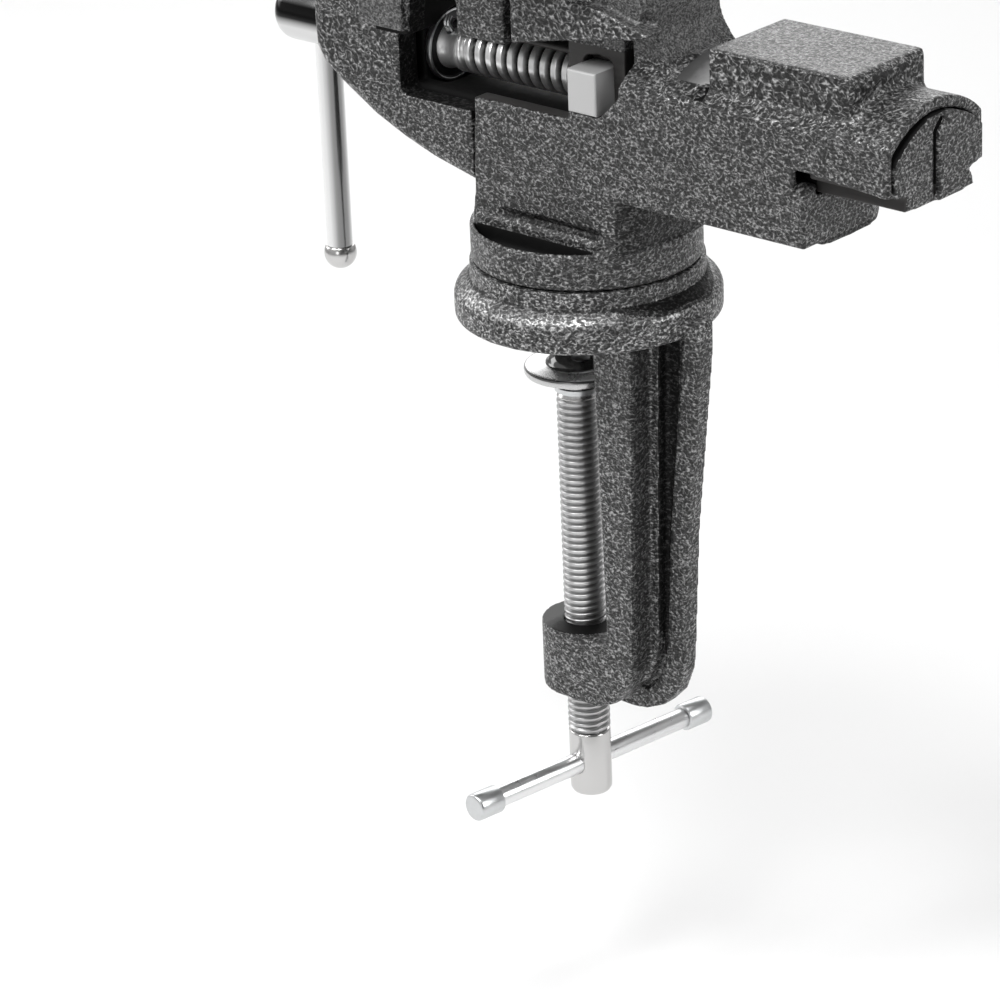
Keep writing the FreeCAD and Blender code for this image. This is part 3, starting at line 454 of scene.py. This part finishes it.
HAMMER = hammertone("hammertone_paint")
# coarse hammertone paint; along the shell's shoulder its bright speckles are a painted highlight
BOLD = hammertone("hammertone_paint_thick_and_painted_highlight", (0.004, 0.026, 0.105, 0.380), 1.3, (0.42, 0.22), 430.0, 9.5, 1.2)
FINE = hammertone("hammertone_paint_thin", (0.020, 0.060, 0.100, 0.200), 0.6, (0.50, 0.36), 760.0, 7.0)
# glossy, lighter copy of the hammertone paint: the gloss is real, the lighter tones are a painted highlight
GLOSS = hammertone("hammertone_glossy_painted_highlight", (0.026, 0.105, 0.250, 0.560), 0.42, (0.43, 0.32), 560.0, 9.0, 1.35, 1.0, 0.55)
EDGE = hammertone("hammertone_rim_painted_light", (0.008, 0.054, 0.160, 0.500), 1.05)
# painted shade: near-black (first) and half-dark (second) copies of the hammertone paint, put on faces where shade
# falls
SHADE = hammertone("hammertone_painted_shade", (0.002, 0.006, 0.014, 0.050), 0.5, (0.62, 0.50), 560.0, 9.0, 1.35, 0.15)
HALF_SHADE = hammertone("hammertone_painted_half_shade", (0.004, 0.020, 0.050, 0.150), 0.7, (0.55, 0.40), 560.0, 9.0, 1.35, 0.3)
BARE = metal("machined_casting", (0.040, 0.038, 0.037), 0.46, scale=500.0, rough_var=0.06, bump=0.00005, stretch=(0.15, 1, 1), dark=0.35, metallic=0.3)
RUN_OUT_SHEEN = run_out("smooth_paint_painted_sheen")
# painted shade: near-black casting for hollows and insides
INSIDE_SHADE = metal("unlit_casting", (0.006, 0.006, 0.006), 0.70, scale=400.0, rough_var=0.06, dark=0.3, metallic=0.0, gloss=0.12)
CHROME = metal("bright_plate", (0.66, 0.66, 0.67), 0.17, scale=160.0, rough_var=0.03)
STEEL = metal("turned_steel", (0.56, 0.555, 0.55), 0.24, scale=900.0, rough_var=0.03)
# painted shade in the thread roots and a painted highlight on the crests of both screws
THREAD = rolled("rolled_thread_steel_painted_light", 0.34, "Z", (-5.5, 0, 0), 5.25, 6.2, (0.27, 0.40, 0.47))
CUT_THREAD = rolled("cut_thread_steel_painted_light", 0.32, "X", (0, 0, 69.3), 5.45, 7.0, (0.04, 0.45, 0.95), 0.85)
# painted shadow: a machined face that darkens towards a point just in front of the clamp screw
FACED_SHADOW = rolled("faced_casting_painted_shadow", 0.58, "Z", (0.5, -7.5, 0), 4.5, 13.5, (0.003, 0.010, 0.095), 0.0, 0.12)
NECK = metal("turned_neck", (0.80, 0.80, 0.80), 0.36, scale=900.0, rough_var=0.04, metallic=0.7, gloss=0.8)
SATIN = metal("satin_plate", (0.74, 0.74, 0.745), 0.30, scale=300.0, rough_var=0.04)
PAD_RIM = metal("pressed_plate", (0.52, 0.52, 0.52), 0.27, scale=300.0, rough_var=0.03)
PAD_EDGE_PAINTED_REFLECTION = metal("pressed_plate_edge_painted_reflection", (0.16, 0.16, 0.16), 0.30, scale=300.0, rough_var=0.03)
PAD_DOME_PAINTED_REFLECTION = metal("polished_dome_painted_reflection", (0.13, 0.13, 0.13), 0.13, scale=160.0, rough_var=0.02)
CAST_ZINC = metal("sand_blasted_zinc", (0.465, 0.465, 0.465), 0.52, scale=420.0, rough_var=0.04, metallic=0.25)
ZINC = metal("zinc_plate", (0.60, 0.61, 0.615), 0.34, scale=420.0, rough_var=0.04, dark=0.06)
HARD = metal("ground_steel", (0.36, 0.36, 0.365), 0.34, scale=500.0, rough_var=0.08, bump=0.00002, stretch=(1, 0.12, 1), dark=0.3)
BLACKENED_AND_SHADE = metal("blackened_steel_and_painted_shade", (0.035, 0.035, 0.037), 0.38, scale=500.0, rough_var=0.08, metallic=0.8)


def dress(obj, body, nodes, mats):
    obj.data.materials.clear()
    for m in mats:
        obj.data.materials.append(m)
    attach(obj, body)
    if nodes:
        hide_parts(*nodes)
    return obj


def paint(name, mat):
    o = NODES[name]
    if len(o.data.materials) == 0:
        o.data.materials.append(mat)
    for k in range(len(o.data.materials)):
        o.material_slots[k].material = mat


# ------------------------------------------------------------------ castings
def mark(obj, rule):
    for p in obj.data.polygons:
        c = p.center * 1000.0
        k = rule(c, p.normal)
        if k:
            p.material_index = k


frame_cast = cast("clamp_frame", "cast_clamp_frame", 0.55, 5)
dress(frame_cast, "clamp_base", ["clamp_frame"], [HAMMER, GLOSS, SHADE, HALF_SHADE, FACED_SHADOW, EDGE])

body_cast = cast("vise_body", "cast_vise_body", 0.55, 4)
dress(body_cast, "vise", ["vise_body"], [HAMMER, BARE, RUN_OUT_SHEEN, INSIDE_SHADE, BOLD, FINE, HALF_SHADE])


def frame_rule(c, n):
    ay = abs(c.y)
    if c.z > 0.3:
        # rolled shoulder of the flange
        turn = math.degrees(math.atan2(c.x, -c.y))
        # painted shade under the lee of the hub, on the right-hand side of the shoulder: near-black close to the hub,
        # half-dark further out
        lee = min(turn - 46.0, 134.0 - turn)
        if c.z < 12.0 and math.hypot(c.x, c.y) > 33.5 and lee > 0.0 and c.z > max(8.4, 11.7 - 0.12 * lee):
            return 2 if c.z > max(9.3, 12.0 - 0.11 * (lee - 8.0)) else 3
        # glossy paint on the shoulder, lighter than the plain paint: a real gloss with a painted highlight
        if c.z > 7.4 and c.z < 11.4 and math.hypot(c.x, c.y) > 34.2:
            return 1
        # upright rim of the flange: a lighter, coarser copy of the paint, giving a coarser texture and painted light
        if c.z < 7.4 and math.hypot(c.x, c.y) > 37.0:
            return 5
        # wall of the hub, except its +X side: the same lighter copy of the paint, painted light
        if 12.1 < c.z < 16.3 and math.hypot(c.x, c.y) > 33.0 and c.x < 24.0:
            return 5
        # painted shade in the crease at the foot of the hub
        if c.z > 11.3 and c.z < 12.1 and n.z > 0.1:
            return 3
        return 0
    # machined top of the boss, with a painted shadow of the screw: darkest just in front of the screw, lighter towards
    # the boss's edge
    if n.z > 0.6 and -98.6 < c.z < -97.2 and math.hypot(c.x + 5.5, c.y) < 12.9 and c.x < 6.6:
        return 4
    # painted shade in the recess between the rib and the outer bead, and on the back of the inner flange
    if c.z > -104.0:
        t = -c.z / 88.0
        back, bead = 26.1 - 2.7 * t, 35.8 - 5.7 * t
        if ay < 5.6 and c.x > back + 3.0 and c.x < bead - 1.6 and (ay < 1.9 or n.x > 0.4):
            return 2
        if ay < 1.9 and c.x >= bead - 1.6 and c.x < bead - 0.2:
            return 3
        if n.x > 0.6 and abs(c.x - back) < 0.9 and 4.8 < ay < 12.6:
            return 3
    return 0


mark(frame_cast, frame_rule)


def body_rule(c, n):
    ay = abs(c.y)
    # painted shade on the rear of the neck, under the block
    if 27.5 < c.z < 43.0 and n.x > 0.5 and c.x > 18.0:
        return 6
    # machined sill, and the channel painted near-black as shade
    if c.z < 64.8 and c.z > 56 and c.x < 12.4 and (n.z > 0.6) and ay < 20.2 and ay > 14.6:
        return 1
    if ay < 15.6 and 55 < c.z < 66 and c.x > -23.0 and c.x < 92.4:
        return 3
    # lugs round the nut's ears
    if 6.4 < c.x < 27.8 and 8.6 < ay < 14.2 and 63.0 < c.z < 83.5:
        return 1
    # painted shade: the tunnel and everything else inside the shell near-black
    if ay < 18.95 and c.z < 54.4 + math.sqrt(max(0.0, 26.95 ** 2 - ay ** 2)) and 6.0 < c.x < 119.6 and c.z > 60.2:
        return 3
    # painted shade in the hollow in front of the anvil's near corner
    if 55.9 < c.x < 58.6 and -19.4 < c.y < -14.2 and 76.8 < c.z < 79.4:
        return 3
    # smooth run-out between the upright and the anvil, with painted shade and a painted sheen
    if 46.6 < c.x < 58.0 and -15.4 < c.y < 15.0 and c.z > 79.0 and n.z > 0.3 and c.z < 85.2:
        return 2
    # painted shade: the pockets in the disc outside the neck near-black
    if c.z < 27.45 and c.z > 22.0 and ay > 20.95 and c.x ** 2 + c.y ** 2 < 32.0 ** 2:
        return 3
    # painted shade in the scoops over the beads of the neck's foot
    if 30.7 < c.z < 33.9 and ay > 18.6 and ay < 21.0 and -13.0 < c.x < 21.0:
        return 6
    # paint with brighter speckles along the shoulder of the shell: a painted highlight along its edge
    if c.y < -19.6 and 75.4 < c.z < 77.2 and 38.0 < c.x < 112.0:
        return 4
    # thick paint on the anvil's sides and on the band over the window
    if 58.0 < c.x < 106.6 and c.z < 90.2 and c.z > 80.6 and (ay > 15.9 or c.x > 105.6 or c.x < 58.8):
        return 4
    if c.y < -20.3 and c.x < 42.0 and 82.0 < c.z < 97.5:
        return 4
    # thin paint on the back of the upright and on top of the anvil
    if (c.x > 20.0 and c.x < 46.6 and c.z > 84.0 and ay < 20.3) or c.z > 90.95 and c.x > 57:
        return 5
    return 0


mark(body_cast, body_rule)

jaw_cast = cast("movable_jaw", "cast_movable_jaw", 0.55, 4)
dress(jaw_cast, "front_jaw", ["movable_jaw"], [HAMMER, BARE, INSIDE_SHADE, BOLD, SHADE, FINE])


def jaw_rule(c, n):
    ay = abs(c.y)
    # rail, strap and the inside of the slide
    # painted shade: this band inside the slide is near-black
    if c.x > -22.6 and c.x < 92.0 and c.z > 58.6 and c.z < 61.4 and ay < 15.2:
        return 2
    if c.x > -22.6 and c.z < 61.4 and c.x < 121.0 and ay < 15.2:
        return 1
    if -22.6 < c.x < 92 and ay < 9.4 and 76.5 < c.z < 81.5:
        return 1
    if c.x > 92.2 and c.x < 118.0:
        return 1
    # painted shade: the gap round the near shoulder and the groove in the end face near-black
    if 117.9 < c.x < 121.0 and (c.z - 54.4) ** 2 + c.y ** 2 > 24.3 ** 2 and c.y < 0:
        return 2
    if 119.0 < c.x < 120.9 and -2.2 < c.y < 3.9:
        return 2
    # painted shade on the reveal of the window, then near-black painted shade on its inside and the cavity
    if -50.2 < c.x < -22.6 and 58.9 < c.z < 92.9 and 14.0 < ay < 20.3 and abs(n.y) < 0.7:
        return 4
    if -54.6 < c.x < -22.6 and 56.8 < c.z < 92.9 and ay < 20.2 and (abs(n.y) < 0.7 or ay < 13.2):
        return 2
    # painted shade in the slot under the side pad
    if c.y < -19.8 and -57.5 < c.x < -45.4 and 77.5 < c.z < 79.2:
        return 2
    if c.y < -22.6 and -62.0 < c.x < -45.8 and 79.2 < c.z < 95.0:
        return 5
    if c.x < -52.0 and c.y < -19.8 and c.z > 62.0 and c.z < 79.5:
        return 3
    return 0


mark(jaw_cast, jaw_rule)

# ------------------------------------------------------------------ lead screw
AX = 69.3
head = lathe("lead_head", [(0, -111.5), (4.6, -111.5), (6.4, -111.2), (7.6, -110.5), (8.4, -109.4), (8.85, -108.2), (9.0, -106.8), (9.0, -89.3), (8.85, -88.9), (8.6, -88.7), (7.0, -88.7), (7.0, -56.0), (7.0, -46.95),
                           (6.4, -46.4), (6.4, -42.3), (6.6, -41.9), (7.0, -41.6), (7.0, -40.2), (6.0, -39.9), (0, -39.9)], "X", (0, 0, AX), 96)
cut(head, cylinder("t", 3.95, -15, 15, (0, 0, 1), (-97.0, 0, AX), 48))
PIN = (0.0, -math.sin(math.radians(35.0)), math.cos(math.radians(35.0)))
cut(head, cylinder("t", 1.3, -15, 15, PIN, (-45.0, 0, AX), 24))
bevel(head, 0.25, 2, 50)
smooth_by_angle(head, 32)
lead_thread = thread("lead_thread", -40.2, 86.4, 7.0, 1.55, 4.0, 0.40, 0.24, (1, 0, 0), (0, 0, AX), n=72, steps=14, fade0=0.8, fade1=0.5)
tip = lathe("lead_tip", [(0, 86.0), (5.4, 86.0), (7.0, 86.4), (7.0, 86.9), (6.0, 88.0), (0, 88.0)], "X", (0, 0, AX), 72)
smooth_by_angle(lead_thread, 50)
smooth_by_angle(tip, 32)
lead = join("lead_screw_threaded", [head, lead_thread, tip])
smooth_by_angle(lead, 48)
# painted reflection: the head is bright below its axis and has a dark band just above it
HEAD_PAINTED_REFLECTION = banded("turned_steel_head_painted_reflection", 0.22, (0, 0, AX), (0, 0, 1), [(0.0, 0.58), (0.34, 0.62), (0.44, 0.30), (0.50, 0.03), (0.72, 0.015), (0.80, 0.20), (1.0, 0.55)], False, 9.0)
dress(lead, "lead_screw_set", ["lead_screw"], [CUT_THREAD, HEAD_PAINTED_REFLECTION, NECK])
for p_ in lead.data.polygons:
    if p_.center.x < -0.0880:
        p_.material_index = 1
    elif p_.center.x < -0.0402:
        p_.material_index = 2

# ------------------------------------------------------------------ clamp screw
CX = -5.5
turn = math.radians(8.0)
BAR = (math.sin(turn), math.cos(turn), 0.0)
chead = lathe("clamp_head", [(0, -154.3), (4.9, -154.3), (5.6, -153.9), (6.1, -153.0), (6.15, -152.4), (6.15, -134.6), (6.0, -134.2), (5.75, -134.1), (5.2, -133.9), (5.2, -132.4), (0, -132.4)], "Z", (CX, 0, 0), 72)
cut(chead, cylinder("t", 3.17, -12, 12, BAR, (CX, 0, -144.3), 48))
bevel(chead, 0.22, 2, 50)
cthread = thread("clamp_thread", -132.9, -27.4, 6.2, 0.95, 2.0, 0.28, 0.16, (0, 0, 1), (CX, 0, 0), n=64, steps=12, fade0=0.6, fade1=0.8)
cneck = lathe("clamp_neck", [(0, -28.0), (5.6, -28.0), (6.1, -27.6), (5.2, -26.1), (3.9, -26.1), (3.9, -16.4), (3.2, -15.8), (0, -15.8)], "Z", (CX, 0, 0), 64)
clamp = join("clamp_screw_threaded", [chead, cthread, cneck])
smooth_by_angle(clamp, 48)
dress(clamp, "clamp_spindle", ["clamp_screw"], [THREAD, STEEL])
for p_ in clamp.data.polygons:
    if p_.center.z < -0.1333 or p_.center.z > -0.0280:
        p_.material_index = 1

# ------------------------------------------------------------------ bars, balls and caps
HX = -97.0
bar = lathe("handle_bar", [(0, -4.6), (2.9, -4.6), (2.9, -1.5), (3.85, -1.5), (3.85, 78.4), (2.9, 78.4), (2.9, 81.5), (0, 81.5)], "Z", (HX, 0, 0), 96)
smooth_by_angle(bar, 32)
# painted reflection: the bar darkens towards the side facing +X and slightly -Y
BAR_PAINTED_REFLECTION = banded("bright_plate_bar_painted_reflection", 0.20, (HX, 0, 0), (math.cos(math.radians(-26.0)), math.sin(math.radians(-26.0)), 0.0),
                    [(0.0, 0.74), (0.50, 0.80), (0.78, 0.72), (0.89, 0.50), (0.96, 0.27), (1.0, 0.22)])
dress(bar, "handle", ["main_handle"], [BAR_PAINTED_REFLECTION])


def ball_end(name, centre, up, nodes):
    prof = [(0, centre - up * 4.85)]
    for k in range(1, 31):
        t = math.radians(119.5 * k / 30)
        prof.append((4.85 * math.sin(t), centre - up * 4.85 * math.cos(t)))
    prof += [(4.05, centre + up * 2.48), (3.9, centre + up * 2.5), (3.0, centre + up * 2.5), (3.0, centre + up * 1.5), (0, centre + up * 1.5)]
    o = lathe(name, prof, "Z", (HX, 0, 0), 72)
    smooth_by_angle(o, 40)
    return dress(o, "handle", nodes, [STEEL])


ball_end("ball_end_lower", -4.1, 1, ["handle_ball_lower"])
ball_end("ball_end_upper", 81.0, -1, ["handle_ball_upper"])

BC = (CX, 0, -144.3)
tbar = lathe("t_bar_rod", [(0, -44.0), (2.3, -44.0), (2.3, -36.7), (3.0, -36.7), (3.1, -36.4), (3.1, 36.8), (3.0, 37.1), (2.3, 37.1), (2.3, 44.5), (0, 44.5)], "Z", BC, 72, BAR)
smooth_by_angle(tbar, 32)
dress(tbar, "t_bar", ["clamp_bar"], [SATIN])
for nm, s, e in (("near", -45.6, 1), ("far", 46.0, -1)):
    cap = lathe("t_bar_cap_" + nm, [(0, s), (3.3, s), (3.75, s + e * 0.12), (4.02, s + e * 0.4), (4.15, s + e * 0.9), (4.15, s + e * 8.4), (4.0, s + e * 8.8), (3.7, s + e * 9.0), (3.12, s + e * 9.0), (3.12, s + e * 8.2), (0, s + e * 8.2)], "Z", BC, 72, BAR)
    smooth_by_angle(cap, 32)
    dress(cap, "t_bar", ["clamp_bar_cap_" + nm], [ZINC])

# ------------------------------------------------------------------ pad
pad = lathe("pad_domed", [(0, -15.6), (4.3, -15.6), (4.3, -24.0), (4.5, -24.1), (6.6, -24.1), (6.9, -23.8), (7.1, -19.9), (7.6, -19.6), (13.0, -20.4), (14.4, -20.5), (14.9, -20.3), (15.1, -19.8), (15.1, -18.7), (14.95, -18.3), (14.6, -18.12),
                          (13.6, -18.05), (9.9, -17.75), (9.0, -17.6), (8.5, -17.3), (8.2, -16.8), (7.9, -16.1), (7.4, -15.4), (6.8, -14.8), (6.0, -14.3), (5.1, -13.9), (4.2, -13.65), (3.2, -13.53), (2.0, -13.5), (0, -13.5)], "Z", (CX, 0, 0), 96)
smooth_by_angle(pad, 40)
dress(pad, "pad", ["clamp_pad"], [PAD_RIM, PAD_DOME_PAINTED_REFLECTION, PAD_EDGE_PAINTED_REFLECTION])
# painted reflection: the outer top edge of the rim and the dome are darker than the rest of the same plate
for p_ in pad.data.polygons:
    c_ = p_.center * 1000.0
    if c_.z > -18.75 and math.hypot(c_.x - CX, c_.y) > 14.6:
        p_.material_index = 2
    if c_.z > -17.7 and math.hypot(c_.x - CX, c_.y) < 9.4:
        p_.material_index = 1
paint("pad_ring", ZINC)

# ------------------------------------------------------------------ washers and pin
fw = lathe("front_washer", [(7.1, -88.6), (11.3, -88.6), (11.6, -88.3), (11.6, -87.4), (11.3, -87.15), (7.1, -87.15), (7.1, -88.6)], "X", (0, 0, AX), 96)
smooth_by_angle(fw, 32)
dress(fw, "lead_screw_set", ["front_thrust_washer"], [ZINC])
rw = lathe("rear_washer", [(7.05, -49.5), (9.4, -49.5), (10.1, -49.2), (10.5, -48.5), (10.5, -47.2), (10.4, -46.98), (10.1, -46.9), (9.75, -47.0), (9.2, -47.5), (7.05, -47.5), (7.05, -49.5)], "X", (0, 0, AX), 96)
smooth_by_angle(rw, 32)
dress(rw, "lead_screw_set", ["rear_thrust_washer"], [BLACKENED_AND_SHADE, ZINC])
# painted shade: the washer's faces are near-black, only the outer rim beyond 9.6 mm keeps the zinc colour
for p_ in rw.data.polygons:
    c_ = p_.center * 1000.0
    if math.hypot(c_.y, c_.z - AX) > 9.6:
        p_.material_index = 1


def wire(name, path, r, n=20):
    """Round wire along a path of (x, y, z) points in mm, with closed ends."""
    verts, faces = [], []
    pts = [Vector(q_) for q_ in path]
    up = Vector((1.0, 0.0, 0.0))
    for i, q_ in enumerate(pts):
        a, b = pts[max(0, i - 1)], pts[min(len(pts) - 1, i + 1)]
        t = (b - a).normalized()
        u = (up - t * up.dot(t)).normalized()
        v = t.cross(u)
        for k in range(n):
            th = 2 * math.pi * k / n
            verts.append(tuple(q_ + (u * math.cos(th) + v * math.sin(th)) * r))
    for i in range(len(pts) - 1):
        for k in range(n):
            j = (k + 1) % n
            faces.append((i * n + k, i * n + j, (i + 1) * n + j, (i + 1) * n + k))
    faces.append(tuple(reversed(range(n))))
    faces.append(tuple(range((len(pts) - 1) * n, len(pts) * n)))
    o = mesh_object(name, verts, faces)
    fix_normals(o)
    return o


def pin_path(side):
    """One leg of the pin: straight through the screw, then bent over outside it. (across, along) from the axis."""
    line = [(0.0, -9.2), (0.0, 8.4)]
    for k in range(1, 8):
        t = math.radians(10.0 * k)
        line.append((1.6 * (1 - math.cos(t)), 8.4 + 1.6 * math.sin(t)))
    e = line[-1]
    line.append((e[0] + 1.3 * math.sin(math.radians(70.0)), e[1] + 1.3 * math.cos(math.radians(70.0))))
    out = []
    s_, c_ = math.sin(math.radians(35.0)), math.cos(math.radians(35.0))
    for across, along in line:
        y = -s_ * along + c_ * across
        z = c_ * along + s_ * across
        out.append((-45.0 + side * 0.55, y, AX + z))
    return out


legs = [wire("leg", pin_path(-1.0), 0.62), wire("leg", pin_path(1.0), 0.62)]
eye = lathe("eye", [(0, -11.2), (0.9, -11.2), (1.5, -10.9), (1.75, -10.3), (1.7, -9.6), (1.35, -9.1), (0, -9.0)], "Z", (-45.0, 0, AX), 32, PIN)
split = join("split_pin", legs + [eye])
smooth_by_angle(split, 40)
dress(split, "lead_screw_set", ["retaining_pin"], [ZINC])


# ------------------------------------------------------------------ nut, plates and screws
def crisp(nodename, name, body, mat, width, seg=2):
    o = copy_node(nodename, name)
    dissolve(o)
    bevel(o, width, seg, 40)
    smooth_by_angle(o, 28)
    return dress(o, body, [nodename], [mat])


crisp("lead_nut", "nut_block", "vise", CAST_ZINC, 0.5, 3)
crisp("swivel_nut", "swivel_hex_nut", "clamp_base", ZINC, 0.3, 2)


def plate(nodename, name, body, back, front):
    """Jaw plate with a diamond serration cut into its gripping face."""
    out = 1 if front > back else -1
    ny, nz = 300, 94
    y0, y1, z0, z1 = -37.5, 37.5, 104.0, 127.3
    pitch = 1.6
    verts, faces = [], []
    for i in range(ny + 1):
        for j in range(nz + 1):
            y = y0 + (y1 - y0) * i / ny
            z = z0 + (z1 - z0) * j / nz
            u = (y + z) / pitch
            v = (y - z) / pitch
            hgt = 1.0 - max(abs(2 * (u - math.floor(u)) - 1), abs(2 * (v - math.floor(v)) - 1))
            border = min(1.0, max(0.0, (min(y - y0, y1 - y, z - z0, z1 - z) - 0.7) / 0.4))
            for sy in (-22.0, 22.0):
                border *= min(1.0, max(0.0, (math.hypot(y - sy, z - 115.6) - 5.2) / 0.4))
            drop = 0.45 * border * (1.0 - min(1.0, hgt * 1.15)) + 0.0
            rim = min(y - y0, y1 - y, z - z0, z1 - z)
            if rim < 0.3:
                drop += 0.3 - rim
            verts.append((front - out * drop, y, z))
    def vid(i, j):
        return i * (nz + 1) + j
    for i in range(ny):
        for j in range(nz):
            faces.append((vid(i, j), vid(i + 1, j), vid(i + 1, j + 1), vid(i, j + 1)))
    loop = [vid(i, 0) for i in range(ny + 1)] + [vid(ny, j) for j in range(1, nz + 1)] + [vid(i, nz) for i in range(ny - 1, -1, -1)] + [vid(0, j) for j in range(nz - 1, 0, -1)]
    base = len(verts)
    for k in loop:
        _, y, z = verts[k]
        verts.append((back, y, z))
    n = len(loop)
    for k in range(n):
        faces.append((loop[k], loop[(k + 1) % n], base + (k + 1) % n, base + k))
    faces.append(tuple(base + k for k in range(n)))
    o = mesh_object(name, verts, faces)
    fix_normals(o)
    for sy in (-22.0, 22.0):
        a, b = (front, back)
        t = lathe("t", [(0, -1.0), (4.75, -1.0), (4.75, 0.3), (2.65, 2.7), (2.65, 8.0), (0, 8.0)], "Z", (front, sy, 115.6), 48, (-out, 0, 0))
        cut(o, t)
    smooth_by_angle(o, 25)
    return dress(o, body, [nodename], [HARD])


plate("fixed_jaw_plate", "serrated_plate_fixed", "vise", -3.4, -8.4)
plate("movable_jaw_plate", "serrated_plate_movable", "front_jaw", -13.6, -8.6)


def jaw_screws(nodename, name, body, front, out):
    parts = []
    for sy in (-22.0, 22.0):
        h = lathe("h", [(0, 0.35), (4.3, 0.35), (4.55, 0.5), (2.5, 2.6), (2.5, 14.0), (0, 14.0)], "Z", (front, sy, 115.6), 48, (-out, 0, 0))
        t = cylinder("t", 1.75, -1.0, 1.9, (-out, 0, 0), (front, sy, 115.6), 6)
        cut(h, t)
        parts.append(h)
    o = join(name, parts)
    smooth_by_angle(o, 30)
    return dress(o, body, [nodename], [BLACKENED_AND_SHADE])


jaw_screws("fixed_jaw_screws", "countersunk_screws_fixed", "vise", -8.4, -1)
jaw_screws("movable_jaw_screws", "countersunk_screws_movable", "front_jaw", -8.6, 1)

for n_ in ("swivel_bolt", "swivel_washer"):
    paint(n_, ZINC)

# ------------------------------------------------------------------ floor, light, camera
FLOOR = -0.2285
me = bpy.data.meshes.new("floor")
S = 30.0
me.from_pydata([(-S, -S, FLOOR), (S, -S, FLOOR), (S, S, FLOOR), (-S, S, FLOOR)], [], [(0, 1, 2, 3)])
floor = link(bpy.data.objects.new("floor", me))
fm, fnt, fp = new_mat("pale_floor")
fp.inputs["Base Color"].default_value = (0.86, 0.86, 0.86, 1)
fp.inputs["Roughness"].default_value = 0.9
fp.inputs["Specular IOR Level"].default_value = 0.1
me.materials.append(fm)

w = bpy.data.worlds.new("studio")
scene.world = w
w.use_nodes = True
wn = w.node_tree
wn.nodes.clear()
wo = wn.nodes.new("ShaderNodeOutputWorld")
bg = wn.nodes.new("ShaderNodeBackground")
wn.links.new(bg.outputs[0], wo.inputs[0])
wtc = wn.nodes.new("ShaderNodeTexCoord")
sep = wn.nodes.new("ShaderNodeSeparateXYZ")
wn.links.new(wtc.outputs["Generated"], sep.inputs[0])
# darker on the right and overhead, so that bright metal has something dark to mirror
dot = wn.nodes.new("ShaderNodeVectorMath")
dot.operation = "DOT_PRODUCT"
dot.inputs[1].default_value = (0.98, -0.17, 0.0)
wn.links.new(wtc.outputs["Generated"], dot.inputs[0])
side = ramp(wn, dot.outputs["Value"], [(0.0, 1.0), (0.45, 0.85), (0.72, 0.34), (0.95, 0.12)])
over = ramp(wn, sep.outputs["Z"], [(0.0, 1.0), (0.55, 0.95), (0.70, 0.10), (0.95, 0.06)])
both = wn.nodes.new("ShaderNodeVectorMath")
both.operation = "MULTIPLY"
wn.links.new(side, both.inputs[0])
wn.links.new(over, both.inputs[1])
wn.links.new(both.outputs[0], bg.inputs["Color"])
bg.inputs["Strength"].default_value = 0.55


def area(name, loc, target, size, power, size_y=None):
    ld = bpy.data.lights.new(name, "AREA")
    ld.shape = "RECTANGLE"
    ld.size = size
    ld.size_y = size_y or size
    ld.energy = power
    lo = link(bpy.data.objects.new(name, ld))
    lo.location = loc
    d = Vector(target) - Vector(loc)
    lo.rotation_euler = d.to_track_quat("-Z", "Y").to_euler()
    return lo


area("key", (-0.42, -0.95, 1.12), (0, 0, 0.0), 0.55, 10.5)
area("glint", (0.26, -0.66, 1.20), (0, 0, 0.0), 0.34, 7.5)
area("left", (-1.35, -0.25, 0.55), (0, 0, 0.0), 0.8, 6.5)
area("front", (0.42, -1.25, 0.22), (0, 0, 0.03), 0.35, 1.3)
area("top", (0.30, 0.10, 1.5), (0.02, 0, 0.0), 0.8, 6.0)
area("back", (-0.85, 1.10, 0.60), (0, 0, 0.05), 1.3, 8.0, 0.7)
area("right", (1.4, 0.30, 0.60), (0, 0, 0.02), 0.5, 9.0, 0.9)

cam_data = bpy.data.cameras.new("camera")
cam_data.lens = 154.2222
cam_data.sensor_width = 36.0
cam_data.sensor_fit = "HORIZONTAL"
cam_data.clip_start = 0.01
cam_data.clip_end = 200.0
cam = link(bpy.data.objects.new("camera", cam_data))
cam.matrix_world = Matrix((
    (0.74981048, -0.23684088, 0.61781116, 0.7414775),
    (0.66042439, 0.32476737, -0.67702717, -0.8535102),
    (-0.04029719, 0.91565963, 0.39992947, 0.4350278),
    (0, 0, 0, 1)))
scene.camera = cam
scene.view_settings.view_transform = "Standard"
scene.view_settings.look = "None"
